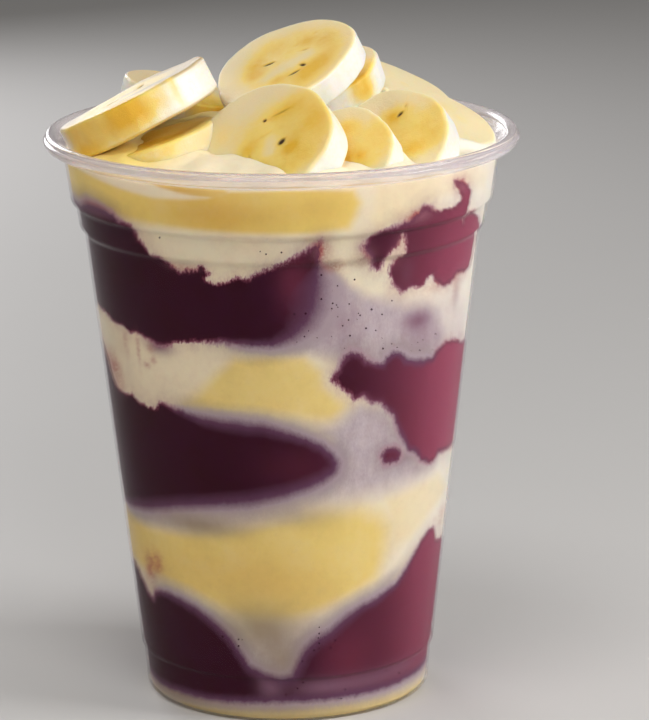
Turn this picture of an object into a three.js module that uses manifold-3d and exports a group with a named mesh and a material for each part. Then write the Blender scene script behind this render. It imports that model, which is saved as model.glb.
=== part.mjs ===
// Acai in a clear plastic cup, with banana slices heaped on top.
// Millimetres, +Z up. The origin is the middle of the cup's foot, on the surface it stands on.
// A bearing of 0 degrees is the front (-Y) and 90 degrees is the right (+X).
//
// The cup is one thin moulded wall. It is filled with four bands of sweet cream and three of
// dark acai, poured one on another, so each boundary rises and falls round the wall. The slices
// lie in the domed top of the last cream.

import * as THREE from "three";
import { mergeVertices } from "three/addons/utils/BufferGeometryUtils.js";
import Module from "manifold-3d";

const wasm = await Module();
wasm.setup();

// Driving dimensions of the cup
const CUP_HEIGHT = 118.8;
const LIP_RADIUS = 49;
const LIP_WIDTH = 2.9;
const LIP_HEIGHT = 2.9;
const LIP_ARC = { from: -140, to: 165, steps: 7 };
const WALL = 0.7;
const FOOT_RADIUS = 29.7;
const FOOT_CORNER = 1.1;
const FOOT_RING = 2.2;
const RECESS_HEIGHT = 1.8;
const FOOT_BAND = { height: 9.8, radius: 31.05, step: 0.45 };
const BODY_TOP = { height: 98.4, radius: 40.9 };
const SHOULDER = { height: 99.5, radius: 41.9 };
const NECK = { height: 104.1, radius: 42.6 };
const COLLAR = { low: 104.9, radius: 43.6, high: 114.6, topRadius: 44.9 };
const SIDES = 56;

// Contents
const GAP = 0.3;
const HEAP_EDGE = 115.2;
const HEAP_CROWN = 119;
const BOUNDARY_RINGS = [0.8];
const HEAP_RINGS = [0.5, 0.85];
const REACH_PAST_WALL = 3;
const ABOVE_ALL = 150;
const BELOW_ALL = -5;

// Banana slices
const SLICE_SIDES = 16;
const SLICE_EDGE = 0.9;
const SLICE_LOBES = { two: 1, three: 0.5 };

const COLOURS = {
  plastic: 0xe9e6ee,
  cream: 0xe8d08c,
  paleCream: 0xe6dcc0,
  acai: 0x4c1a2c,
  banana: 0xf2dfa4,
};

const ROUGHNESS = { plastic: 0.08, filling: 0.45, banana: 0.5 };
const PLASTIC_OPACITY = 0.3;

const toRadians = THREE.MathUtils.degToRad;
const wrap = (degrees) => THREE.MathUtils.euclideanModulo(degrees + 180, 360) - 180;
const point = (radius, height) => new THREE.Vector2(radius, height);

// A finish of its own for each piece.
function finish(colour, roughness, options = {}) {
  return new THREE.MeshStandardMaterial({ color: colour, roughness, metalness: 0, ...options });
}

function named(name, geometry, material) {
  const mesh = new THREE.Mesh(geometry, material);
  mesh.name = name;
  return mesh;
}

// A profile turned about the upright axis. It runs anticlockwise seen with the axis on its left.
function turned(profile, sides = SIDES) {
  return new THREE.LatheGeometry(profile, sides).rotateX(Math.PI / 2);
}

// A geometry as a solid that can be joined and cut.
function solid(geometry) {
  const bare = geometry.clone();
  bare.deleteAttribute("normal");
  bare.deleteAttribute("uv");
  const merged = mergeVertices(bare, 1e-4);
  const corners = merged.index.array;
  const kept = [];
  for (let i = 0; i < corners.length; i += 3) {
    const [a, b, c] = corners.slice(i, i + 3);
    if (a !== b && b !== c && c !== a) kept.push(a, b, c);
  }
  return new wasm.Manifold(new wasm.Mesh({
    numProp: 3,
    vertProperties: new Float32Array(merged.attributes.position.array),
    triVerts: new Uint32Array(kept),
  }));
}

// The largest single body of a solid, as a geometry. Scraps that a cut leaves loose are dropped.
function geometryOf(body) {
  const largest = body.decompose().reduce((a, b) => (a.volume() > b.volume() ? a : b));
  const mesh = largest.getMesh();
  const geometry = new THREE.BufferGeometry();
  geometry.setAttribute("position", new THREE.BufferAttribute(mesh.vertProperties, 3));
  geometry.setIndex(new THREE.BufferAttribute(mesh.triVerts, 1));
  return geometry;
}

// The inside of the cup's wall from the floor up, drawn in towards the axis by a clearance.
function insideProfile(clearance) {
  const inset = WALL + clearance;
  return [
    point(FOOT_RADIUS - FOOT_CORNER - inset, RECESS_HEIGHT + inset),
    point(FOOT_RADIUS - inset, RECESS_HEIGHT + inset + FOOT_CORNER),
    point(FOOT_BAND.radius - FOOT_BAND.step - inset, FOOT_BAND.height),
    point(BODY_TOP.radius - inset, BODY_TOP.height),
    point(SHOULDER.radius - inset, SHOULDER.height),
    point(NECK.radius - inset, NECK.height),
    point(COLLAR.radius - inset, COLLAR.low),
    point(COLLAR.topRadius - inset, COLLAR.high),
  ];
}

// The rolled lip: an oval bead, followed anticlockwise from the collar round to the inside.
function lipProfile() {
  const { from, to, steps } = LIP_ARC;
  const points = [];
  for (let step = 0; step <= steps; step += 1) {
    const angle = toRadians(from + ((to - from) * step) / steps);
    points.push(point(
      LIP_RADIUS + (LIP_WIDTH / 2) * (Math.cos(angle) - 1),
      CUP_HEIGHT + (LIP_HEIGHT / 2) * (Math.sin(angle) - 1),
    ));
  }
  return points;
}

// The cup: foot ring round a shallow recess, two low steps under the collar, and a rolled lip.
function cup() {
  const ringOuter = FOOT_RADIUS - FOOT_CORNER;
  const ringInner = ringOuter - FOOT_RING;
  return turned([
    point(0, RECESS_HEIGHT),
    point(ringInner - RECESS_HEIGHT, RECESS_HEIGHT),
    point(ringInner, 0),
    point(ringOuter, 0),
    point(FOOT_RADIUS, FOOT_CORNER),
    point(FOOT_BAND.radius, FOOT_BAND.height - FOOT_BAND.step),
    point(FOOT_BAND.radius - FOOT_BAND.step, FOOT_BAND.height),
    point(BODY_TOP.radius, BODY_TOP.height),
    point(SHOULDER.radius, SHOULDER.height),
    point(NECK.radius, NECK.height),
    point(COLLAR.radius, COLLAR.low),
    point(COLLAR.topRadius, COLLAR.high),
    ...lipProfile(),
    ...insideProfile(0).reverse(),
    point(0, RECESS_HEIGHT + WALL),
  ]);
}

// The fillings from the floor up, each with its top where it meets the next: the height at the
// wall, the height at the core, and the radius there. A swell is a smooth rise (or dip) round one
// bearing. A step is a rise between two bearings that comes down between two others behind.
const FILLINGS = [
  {
    name: "cream_base", colour: COLOURS.paleCream, wall: 4.9, core: 5, radius: 30,
    swells: [{ at: -90, wide: 45, high: -1.5 }, { at: 45, wide: 30, high: -0.6 }],
    steps: [],
  },
  {
    name: "acai_lower", colour: COLOURS.acai, wall: 24, core: 19, radius: 32,
    swells: [
      { at: -95, wide: 40, high: 4 }, { at: -2, wide: 28, high: -14 },
      { at: 66, wide: 30, high: 13 }, { at: 150, wide: 60, high: -6 },
    ],
    steps: [],
  },
  {
    name: "cream_lower", colour: COLOURS.cream, wall: 48, core: 46, radius: 35,
    swells: [
      { at: -95, wide: 60, high: -7 }, { at: 12, wide: 22, high: 3 },
      { at: 30, wide: 17, high: 14 }, { at: 140, wide: 55, high: 5 },
    ],
    steps: [{ up: [16, 24], down: [95, 150], high: 6 }],
  },
  {
    name: "acai_middle", colour: COLOURS.acai, wall: 67, core: 66, radius: 37,
    swells: [
      { at: 2, wide: 26, high: -5 }, { at: 17, wide: 12, high: -7 },
      { at: 24, wide: 8, high: 2 }, { at: -150, wide: 50, high: 4 },
    ],
    steps: [{ up: [16, 24], down: [95, 150], high: 9.5 }],
  },
  {
    name: "cream_middle", colour: COLOURS.paleCream, wall: 81.8, core: 83, radius: 39,
    swells: [
      { at: -85, wide: 40, high: 2.5 }, { at: 32, wide: 16, high: 3 },
      { at: 88, wide: 20, high: 4 }, { at: 170, wide: 60, high: -5 },
    ],
    steps: [{ up: [6, 24], down: [100, 150], high: 10.5 }],
  },
  {
    name: "acai_upper", colour: COLOURS.acai, wall: 106, core: 104, radius: 42,
    swells: [
      { at: -20, wide: 40, high: -11.5 }, { at: 17, wide: 13, high: -11.5 },
      { at: 57, wide: 12, high: 5 }, { at: 84, wide: 20, high: -7 },
      { at: 175, wide: 70, high: -5 },
    ],
    steps: [],
  },
];
const TOP_CREAM = { name: "cream_top", colour: COLOURS.cream };

// One smooth bump: one at its middle, nothing past its half width.
function bump(bearing, at, wide) {
  const share = Math.abs(wrap(bearing - at)) / wide;
  return share < 1 ? Math.cos((share * Math.PI) / 2) ** 2 : 0;
}

// How high a filling's top meets the wall at a bearing.
function wallHeight({ wall, swells, steps }, bearing) {
  const turn = wrap(bearing);
  let height = wall;
  for (const { at, wide, high } of swells) height += high * bump(turn, at, wide);
  for (const { up, down, high } of steps) {
    const rise = THREE.MathUtils.smoothstep(turn, up[0], up[1]);
    const fall = THREE.MathUtils.smoothstep(turn, down[0], down[1]);
    height += high * (rise - fall);
  }
  return height;
}

// All that lies under a filling's top, lifted by a small amount. The height at the wall fades to
// the core's with the square of the share of the radius, and never dips under the filling below.
function under(index, lift) {
  const filling = FILLINGS[index];
  const lower = FILLINGS[Math.max(index - 1, 0)];
  const heightAt = (bearing, share) => {
    const atWall = Math.max(wallHeight(filling, bearing), wallHeight(lower, bearing));
    return THREE.MathUtils.lerp(filling.core, atWall, share ** 2) + lift;
  };
  return raised(filling.radius, BOUNDARY_RINGS, heightAt);
}

// A round block whose top follows a height given by bearing and share of the radius. Its top
// starts flat at height 0, and its underside lies well below.
function raised(radius, rings, heightAt) {
  const outer = radius + REACH_PAST_WALL;
  const profile = [
    point(0, BELOW_ALL), point(outer, BELOW_ALL), point(outer, 0),
    ...rings.map((share) => point(share * radius, 0)).reverse(), point(0, 0),
  ];
  const geometry = turned(profile);
  const places = geometry.attributes.position;
  for (let i = 0; i < places.count; i += 1) {
    if (places.getZ(i) < BELOW_ALL / 2) continue;
    const [x, y] = [places.getX(i), places.getY(i)];
    const bearing = THREE.MathUtils.radToDeg(Math.atan2(x, -y));
    const share = Math.min(Math.hypot(x, y) / radius, 1);
    places.setZ(i, heightAt(bearing, share));
  }
  return solid(geometry);
}

// The heap's top: a little below the lip at the wall and domed in the middle.
function heap() {
  const dome = (bearing, share) => HEAP_EDGE + (HEAP_CROWN - HEAP_EDGE) * (1 - share ** 2);
  return raised(COLLAR.topRadius, HEAP_RINGS, dome);
}

// The banana slices from the top of the heap down. Each is placed by the middle of its body, and
// its face leans from straight up by tilt towards the bearing lean.
const SLICES = {
  top: { at: [1.8, -1, 130.3], radius: 15, thick: 6.6, tilt: 31, lean: -48, oval: 0.04 },
  front: { at: [-3.2, -26.8, 118.2], radius: 16.5, thick: 7.4, tilt: 44, lean: -42, oval: 0.03 },
  left_rim: { at: [-28.9, -6.8, 124.5], radius: 16.9, thick: 7.6, tilt: 27, lean: -100, oval: 0.03 },
  right: { at: [23.3, -18.5, 117.3], radius: 13, thick: 7.4, tilt: 48, lean: -33, oval: 0.04 },
  front_right: { at: [12.5, -27.1, 116.1], radius: 12.1, thick: 6.6, tilt: 47, lean: -31, oval: 0.03 },
  right_back: { at: [24.5, 20.8, 120.9], radius: 12.2, thick: 7.2, tilt: 27, lean: 78, oval: 0.03 },
  behind_top: { at: [9.6, 10, 125.8], radius: 11.6, thick: 6.8, tilt: 24, lean: -46, oval: 0.03 },
  right_rim: { at: [32.2, 2.2, 117.6], radius: 11.6, thick: 7, tilt: 24, lean: 58, oval: 0.03 },
  left_low: { at: [-25, -12.6, 116.4], radius: 13.8, thick: 6.4, tilt: 19, lean: -98, oval: 0.03 },
  left_middle: { at: [-5.6, 4.6, 117.2], radius: 11.8, thick: 6.8, tilt: 13, lean: -60, oval: 0.03 },
  left_back: { at: [-22, 22.4, 120.3], radius: 12.6, thick: 7.2, tilt: 15, lean: 84, oval: 0.04 },
  back: { at: [1, 32.3, 116], radius: 11.6, thick: 7.2, tilt: 12, lean: 160, oval: 0.05 },
};

// One banana slice: a thick disc with bevelled edges and an uneven outline.
function slice({ at, radius, thick, tilt, lean, oval }, order, grown = 0) {
  const rim = radius + grown;
  const half = thick / 2 + grown;
  const geometry = turned([
    point(0, -half), point(rim - SLICE_EDGE, -half), point(rim, SLICE_EDGE - half),
    point(rim, half - SLICE_EDGE), point(rim - SLICE_EDGE, half), point(0, half),
  ], SLICE_SIDES);
  const places = geometry.attributes.position;
  for (let i = 0; i < places.count; i += 1) {
    const [x, y] = [places.getX(i), places.getY(i)];
    const around = Math.atan2(y, x);
    const twoLobes = SLICE_LOBES.two * Math.cos(2 * around + order);
    const threeLobes = SLICE_LOBES.three * Math.cos(3 * around + 2 * order);
    const uneven = 1 + oval * (twoLobes + threeLobes);
    places.setX(i, x * uneven);
    places.setY(i, y * uneven);
  }
  const leanTurn = toRadians(lean);
  const axis = new THREE.Vector3(Math.cos(leanTurn), Math.sin(leanTurn), 0);
  const turn = new THREE.Matrix4().makeRotationAxis(axis, toRadians(tilt));
  return geometry.applyMatrix4(turn.setPosition(...at));
}

// The slices from the first to the last. A slice is soft, so it yields a little where it is
// pressed against one named before it.
function slices() {
  const laid = [];
  return Object.entries(SLICES).map(([name, place], order) => {
    const body = laid.reduce((rest, pocket) => rest.subtract(pocket), solid(slice(place, order)));
    laid.push(solid(slice(place, order, GAP)));
    return named(`slice_${name}`, geometryOf(body), finish(COLOURS.banana, ROUGHNESS.banana));
  });
}

// The inside of the cup that the fillings share, open upwards.
function room() {
  return solid(turned([
    point(0, RECESS_HEIGHT + WALL + GAP),
    ...insideProfile(GAP),
    point(COLLAR.topRadius - WALL - GAP, ABOVE_ALL), point(0, ABOVE_ALL),
  ]));
}

// Each filling lies between the top of the one below it and its own.
function fillings() {
  const inside = room();
  return FILLINGS.map(({ name, colour }, index) => {
    let body = inside.intersect(under(index, -GAP / 2));
    if (index > 0) body = body.subtract(under(index - 1, GAP / 2));
    return named(name, geometryOf(body), finish(colour, ROUGHNESS.filling));
  });
}

// The last cream fills the rest up to the heap's top, with a pocket for each slice.
function topCream() {
  const lastBelow = under(FILLINGS.length - 1, GAP / 2);
  const cream = room().intersect(heap()).subtract(lastBelow);
  const pocketed = Object.values(SLICES).reduce(
    (rest, place, order) => rest.subtract(solid(slice(place, order, GAP))), cream,
  );
  return named(TOP_CREAM.name, geometryOf(pocketed), finish(TOP_CREAM.colour, ROUGHNESS.filling));
}

const clear = { transparent: true, opacity: PLASTIC_OPACITY };
const acaiCup = new THREE.Group();
acaiCup.add(named("cup", cup(), finish(COLOURS.plastic, ROUGHNESS.plastic, clear)));
acaiCup.add(...fillings(), topCream(), ...slices());

export default acaiCup;
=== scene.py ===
# %% [markdown]
# # A cup of acai with banana slices
#
# A clear plastic cup is filled by turns with dark frozen acai and thick sweet milk cream, which
# smear into each other against the wall. Thick slices of banana are heaped on the last cream.
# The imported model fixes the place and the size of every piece. This script gives each of them
# its smooth surface and its finish, and nothing is moved or resized.

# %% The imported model
import bpy
import math
import numpy as np
from mathutils import Matrix, Vector


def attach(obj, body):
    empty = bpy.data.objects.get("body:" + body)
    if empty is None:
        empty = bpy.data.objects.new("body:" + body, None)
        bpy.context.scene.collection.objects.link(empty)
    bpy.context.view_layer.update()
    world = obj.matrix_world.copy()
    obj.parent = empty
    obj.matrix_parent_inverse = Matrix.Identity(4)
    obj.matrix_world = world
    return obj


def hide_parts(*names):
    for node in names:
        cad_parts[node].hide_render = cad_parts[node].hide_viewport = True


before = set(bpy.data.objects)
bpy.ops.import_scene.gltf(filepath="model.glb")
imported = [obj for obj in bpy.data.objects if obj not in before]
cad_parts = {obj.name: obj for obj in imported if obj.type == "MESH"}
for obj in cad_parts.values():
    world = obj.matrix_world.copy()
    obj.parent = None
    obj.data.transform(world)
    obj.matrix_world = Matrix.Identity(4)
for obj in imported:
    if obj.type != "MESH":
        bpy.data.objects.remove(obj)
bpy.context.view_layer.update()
print("nodes:", ", ".join(sorted(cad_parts)))

# %% [markdown]
# ## Closed skins
#
# Almost everything here is round about an axis, so one kind of surface serves for all of it: a
# stack of rings with the same number of points, closed by a point at each end. It could be built
# with Blender's Spin or Screw, but worked out as arrays it stays exact, closed and facing
# outwards, and each point can be moved by a formula before the mesh is made. Lengths are in
# millimetres up to the moment when the mesh is made. A bearing is an angle about the cup's axis:
# 0 degrees is the front, and 90 is the right.

# %% Points on rings
MM = 0.001


def ring_points(radius, bearing, height):
    """Points about the cup's axis: x = radius * sin(bearing), y = -radius * cos(bearing)."""
    turn = np.radians(bearing)
    radius, turn, height = np.broadcast_arrays(radius, turn, height)
    return np.stack([radius * np.sin(turn), -radius * np.cos(turn), height], axis=-1)


# %% A closed skin
CREASE = math.radians(38)


def closed_skin(name, rings, first, last):
    """One closed mesh from rings (rows, columns, 3) and the points that close it.

    Neighbouring rings are joined by quads, and the end rings by a fan to their point. Rings run
    from the first point out, up and in to the last one, each anticlockwise seen from above.
    """
    rows, columns = rings.shape[:2]
    points = np.vstack([rings.reshape(-1, 3), first, last]) * MM
    here = np.arange(rows * columns).reshape(rows, columns)
    ahead = np.roll(here, -1, axis=1)
    quads = np.stack([here[:-1], ahead[:-1], ahead[1:], here[1:]], axis=-1).reshape(-1, 4)
    start, end = np.full(columns, rows * columns), np.full(columns, rows * columns + 1)
    fans = np.vstack([
        np.stack([start, ahead[0], here[0]], axis=-1),
        np.stack([end, here[-1], ahead[-1]], axis=-1),
    ])
    mesh = bpy.data.meshes.new(name)
    mesh.from_pydata(points.tolist(), [], quads.tolist() + fans.tolist())
    mesh.shade_smooth()
    mesh.set_sharp_from_angle(angle=CREASE)
    piece = bpy.data.objects.new(name, mesh)
    bpy.context.scene.collection.objects.link(piece)
    return piece


# %% Values kept on points
def points_of(piece):
    """The mesh's points in millimetres, as an array (points, 3)."""
    flat = np.empty(len(piece.data.vertices) * 3, np.float32)
    piece.data.vertices.foreach_get("co", flat)
    return flat.reshape(-1, 3).astype(float) / MM


def keep_values(piece, name, values):
    """Stores one number for each point, for the material to read."""
    layer = piece.data.attributes.new(name, "FLOAT", "POINT")
    layer.data.foreach_set("value", np.asarray(values, np.float32))


def smooth_step(value, low, high):
    """0 up to low, 1 past high, and t * t * (3 - 2t) between them."""
    t = np.clip((value - low) / (high - low), 0, 1)
    return t * t * (3 - 2 * t)


# %% Dressing a node
def dress(piece, node, material):
    """The piece stands for a CAD node, on the same body, with its own finish."""
    piece.data.materials.append(material)
    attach(piece, "root")
    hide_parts(node)


# %% [markdown]
# ## The shape of the cup
#
# The cup is one sheet of plastic, drawn down over a mould, so its wall is thin and all its
# corners are soft. One profile, turned about the axis, holds both faces of the wall: under the
# foot, up the outside past the narrower band at the foot, the long body, two small steps and the
# collar, round the rolled lip, and down the inside. The corners are written as plain points and
# rounded by one formula. A Bevel modifier would also soften them, but it would treat the lip's
# many short edges like the rest.

# %% Sizes of the cup
CUP_HEIGHT = 118.8
WALL = 0.7
FOOT_RADIUS, FOOT_CORNER, FOOT_RING = 29.7, 1.1, 2.2
RECESS_HEIGHT = 1.8
BAND_HEIGHT, BAND_RADIUS, BAND_STEP = 9.8, 30.35, 0.45
BODY_HEIGHT, BODY_RADIUS = 98.4, 40.9
SHOULDER_HEIGHT, SHOULDER_RADIUS = 99.5, 41.9
NECK_HEIGHT, NECK_RADIUS = 104.1, 42.6
COLLAR_LOW, COLLAR_RADIUS = 104.9, 43.6
COLLAR_HIGH, COLLAR_TOP_RADIUS = 114.6, 44.9
LIP_RADIUS, LIP_WIDTH, LIP_HEIGHT = 48.98, 2.9, 2.9
LIP_START, LIP_END = -140, 165
LIP_GROOVE, GROOVE_AT, GROOVE_WIDE = 0.35, 30, 16
CORNER_REACH, CORNER_SHARE = 0.45, 0.45
CUP_SIDES = 280
RING_OUTER = FOOT_RADIUS - FOOT_CORNER
RING_INNER = RING_OUTER - FOOT_RING
# Where a level or an upright face meets one at 45 degrees, the corner on the inside of the wall
# is shifted along that face by SLANT times the wall's thickness.
SLANT = math.tan(math.radians(22.5))
print("foot ring from", round(RING_INNER, 2), "to", round(RING_OUTER, 2), "mm from the axis")


# %% Rounded corners
def rounded(corners, reach, steps=5):
    """The line through the corners with each corner rounded off.

    Near a corner the line follows (1 - t)^2 * start + 2t(1 - t) * corner + t^2 * end, which
    leaves and meets the straight stretches without a kink. It starts and ends reach away from
    the corner, or CORNER_SHARE of the shorter stretch if that is less. The ends stay as they are.
    """
    corner = corners[1:-1]
    back, ahead = corners[:-2] - corner, corners[2:] - corner
    back_length = np.linalg.norm(back, axis=1, keepdims=True)
    ahead_length = np.linalg.norm(ahead, axis=1, keepdims=True)
    cut = np.minimum(reach, CORNER_SHARE * np.minimum(back_length, ahead_length))
    start, end = corner + back / back_length * cut, corner + ahead / ahead_length * cut
    t = np.linspace(0, 1, steps)[None, :, None]
    bends = (1 - t) ** 2 * start[:, None] + 2 * t * (1 - t) * corner[:, None] + t**2 * end[:, None]
    return np.vstack([corners[:1], bends.reshape(-1, 2), corners[-1:]])


# %% The rolled lip
def lip_arc(steps=49):
    """The lip is an oval bead with a shallow groove round its outside, so it shows two lines.

    Angles run from LIP_START, under its outside, round to LIP_END at its inside, and 0 is its
    outermost point. The groove lies just above that as a dip in the radius,
    LIP_GROOVE * exp(-((angle - GROOVE_AT) / GROOVE_WIDE)^2).
    """
    angle = np.linspace(LIP_START, LIP_END, steps)
    turn = np.radians(angle)
    groove = LIP_GROOVE * np.exp(-(((angle - GROOVE_AT) / GROOVE_WIDE) ** 2))
    radius = LIP_RADIUS + LIP_WIDTH / 2 * (np.cos(turn) - 1) - groove
    return np.stack([radius, CUP_HEIGHT + LIP_HEIGHT / 2 * (np.sin(turn) - 1)], axis=-1)


# %% The inner faces
def inside_line(inset):
    """The inner face of the wall from the foot up, drawn in from the outer one by inset."""
    return np.array([
        (RING_OUTER - SLANT * inset, inset),
        (FOOT_RADIUS - inset, FOOT_CORNER + SLANT * inset),
        (BAND_RADIUS - inset, BAND_HEIGHT - BAND_STEP),
        (BAND_RADIUS + BAND_STEP - inset, BAND_HEIGHT),
        (BODY_RADIUS - inset, BODY_HEIGHT),
        (SHOULDER_RADIUS - inset, SHOULDER_HEIGHT),
        (NECK_RADIUS - inset, NECK_HEIGHT),
        (COLLAR_RADIUS - inset, COLLAR_LOW),
        (COLLAR_TOP_RADIUS - inset, COLLAR_HIGH),
    ])


def floor_line(inset):
    """The inner face of the floor from the axis out: it follows the raised middle of the foot."""
    return np.array([
        (0.0, RECESS_HEIGHT + inset),
        (RING_INNER - RECESS_HEIGHT + SLANT * inset, RECESS_HEIGHT + inset),
        (RING_INNER + SLANT * inset, inset),
    ])


# %% The cup's profile
OUTSIDE = np.array([
    (RING_INNER - RECESS_HEIGHT, RECESS_HEIGHT),
    (RING_INNER, 0),
    (RING_OUTER, 0),
    (FOOT_RADIUS, FOOT_CORNER),
    (BAND_RADIUS, BAND_HEIGHT - BAND_STEP),
    (BAND_RADIUS + BAND_STEP, BAND_HEIGHT),
    (BODY_RADIUS, BODY_HEIGHT),
    (SHOULDER_RADIUS, SHOULDER_HEIGHT),
    (NECK_RADIUS, NECK_HEIGHT),
    (COLLAR_RADIUS, COLLAR_LOW),
    (COLLAR_TOP_RADIUS, COLLAR_HIGH),
])
cup_corners = np.vstack([
    [(0.0, RECESS_HEIGHT)], OUTSIDE, lip_arc(), inside_line(WALL)[::-1], floor_line(WALL)[::-1],
])
cup_profile = rounded(cup_corners, CORNER_REACH)
print("cup profile:", len(cup_profile), "points, lip at", cup_profile[:, 0].max(), "mm")

# %% The cup's mesh
cup_bearings = np.arange(CUP_SIDES) * 360 / CUP_SIDES
cup_rings = ring_points(cup_profile[1:-1, :1], cup_bearings[None, :], cup_profile[1:-1, 1:])
axis_points = ring_points(0.0, 0.0, cup_profile[[0, -1], 1])
cup_piece = closed_skin("clear_cup", cup_rings, axis_points[0], axis_points[1])
print("cup faces:", len(cup_piece.data.polygons))

# %% [markdown]
# ## How the fillings lie
#
# Each filling was dropped on the one below and pressed against the wall, so where two of them
# meet, the line rises and dips round the cup. Every filling has a height at the wall, made of
# one level, some smooth swells and at most one step, and a height at the core. Between them
# the height changes with the square of the distance from the axis.

# %% Heights of the fillings
# Each is (level at the wall, height at the axis, swells, steps), as wall_height takes them.
FILLINGS = {
    "cream_base": (4.9, 5, [(-90, 45, -1.5), (45, 30, -0.6)], []),
    "acai_lower": (24, 19, [(-95, 40, 4), (-2, 28, -14), (66, 30, 13), (150, 60, -6)], []),
    "cream_lower": (
        48, 46, [(-95, 60, -7), (12, 22, 3), (30, 17, 14), (140, 55, 5)], [(16, 24, 95, 150, 6)],
    ),
    "acai_middle": (
        67, 66, [(2, 26, -5), (17, 12, -7), (24, 8, 2), (-150, 50, 4)], [(16, 24, 95, 150, 9.5)],
    ),
    "cream_middle": (
        81.8, 83, [(-85, 40, 2.5), (32, 16, 3), (88, 20, 4), (170, 60, -5)],
        [(6, 24, 100, 150, 10.5)],
    ),
    "acai_upper": (
        106, 104, [(-20, 40, -11.5), (17, 13, -11.5), (57, 12, 5), (84, 20, -7), (175, 70, -5)], [],
    ),
}
HEAP_EDGE, HEAP_CROWN = 115.2, 119
THINNEST = 0.25
# The fillings reach this far into the plastic, so that no air shows between them.
INTO_WALL = 0.12
LOWEST = WALL - INTO_WALL
FLOOR_HEIGHT = RECESS_HEIGHT + LOWEST
BEARINGS = np.arange(-180, 180, 0.75)


def wrapped(bearing):
    """The same bearing between -180 and 180 degrees."""
    return (bearing + 180) % 360 - 180


def wall_height(bearing, level, swells, steps):
    """Level plus cos^2 swells (at, half width, rise) plus steps (up from, to, down from, to, rise)."""
    height = np.full(bearing.shape, float(level))
    for at, wide, rise in swells:
        share = np.minimum(np.abs(wrapped(bearing - at)) / wide, 1)
        height += rise * np.cos(share * np.pi / 2) ** 2
    for up_from, up_to, down_from, down_to, rise in steps:
        up = smooth_step(bearing, up_from, up_to)
        height += rise * (up - smooth_step(bearing, down_from, down_to))
    return height


def room_radius(height):
    """The radius where the fillings end: just inside the plastic, so that no air shows."""
    line = inside_line(WALL - INTO_WALL)
    return np.interp(height, line[:, 1], line[:, 0])


# %% The surfaces where the fillings meet
walls = [np.full(BEARINGS.shape, LOWEST)]
cores = [FLOOR_HEIGHT]
for level, core, swells, steps in FILLINGS.values():
    own = wall_height(BEARINGS, level, swells, steps)
    walls.append(np.maximum(own, walls[-1] + THINNEST))
    cores.append(core)
walls.append(np.full(BEARINGS.shape, float(HEAP_EDGE)))
cores.append(HEAP_CROWN)
for name, low, high in zip([*FILLINGS, "cream_top"], walls[:-1], walls[1:]):
    print(f"{name}: {np.min(high - low):.1f} to {np.max(high - low):.1f} mm thick at the wall")

# %% [markdown]
# ## The marbling against the wall
#
# Seen through the plastic, the acai is a few large dark patches with torn or blurred edges. The
# cream between them is gold where it is thick, and grey lilac where acai has melted into it. All
# of this is drawn on the unrolled wall as closed outlines of (bearing, height, softness), where
# softness is the half width in millimetres over which the edge fades. Every point of a filling
# keeps its signed distance to the nearest outline, and the material tears that distance with
# noise. An image could hold the pattern too, but a distance stays sharp at any closeness, and
# the same few outlines go round the hidden side of the cup.
#
# The outlines follow the real cup's marbling, so they stay lists of points.

# %% Outlines of the upper acai
UPPER_ACAI = np.array([
    (288.5, 106, 2), (295.5, 107.5, 2.3), (301, 107.4, 2.1), (304.5, 107.2, 1.8), (308.5, 106.6, 1.4),
    (311.5, 105.6, 0.9), (315.3, 105.3, 0.5), (315.5, 103.9, 0.4), (316, 102.4, 0.4),
    (318, 101, 0.4), (320.3, 99.6, 0.4), (324, 98.7, 0.4), (326.5, 97.3, 0.5), (329, 96.6, 0.6),
    (331.5, 97.1, 0.5), (333.5, 96.9, 0.4), (335.3, 97.1, 0.4), (336, 98, 0.3), (338.2, 96.6, 0.3),
    (336.2, 95.6, 0.3), (338, 94.9, 0.3), (340.5, 94.7, 0.3), (344.5, 95.2, 0.3), (347, 96.1, 0.4),
    (349, 95.9, 0.4), (352, 96.8, 0.5), (355, 97.7, 0.5), (359, 99, 0.5), (361.7, 99.6, 0.5),
    (364.5, 101.2, 0.6), (366.5, 102.1, 0.7), (368.3, 103, 0.8), (370.2, 103.9, 0.8),
    (370, 101.6, 0.8), (369.8, 99.5, 0.9), (370.5, 98.2, 2), (371, 95, 5.5), (370.5, 90, 6.5),
    (368, 86.5, 6), (363, 83.5, 3.5), (357, 82, 2), (350, 82, 1.6), (341.5, 82.5, 1),
    (336.5, 82.5, 0.5), (332, 82.4, 0.3), (328, 81.7, 0.3), (324.5, 81.6, 0.3), (321, 80.2, 0.6),
    (318, 80.3, 0.7), (314, 81.3, 0.4), (310, 82, 0.3), (306, 81.7, 0.3), (303, 82.2, 0.3),
    (298, 82.4, 0.3), (290, 83.7, 0.3), (282, 83.5, 0.3), (262, 84.5, 0.4), (235, 80, 0.6),
    (205, 77, 0.8), (170, 77, 0.8), (140, 83, 0.5), (110, 91, 0.4), (95, 92.5, 0.4), (89, 95, 0.4),
    (92, 99, 0.4), (105, 101.5, 0.5), (130, 103.5, 0.5), (155, 101, 0.6), (180, 101.5, 0.4),
    (205, 102, 0.4), (235, 105, 0.5), (262, 106.5, 0.5),
])
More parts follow.
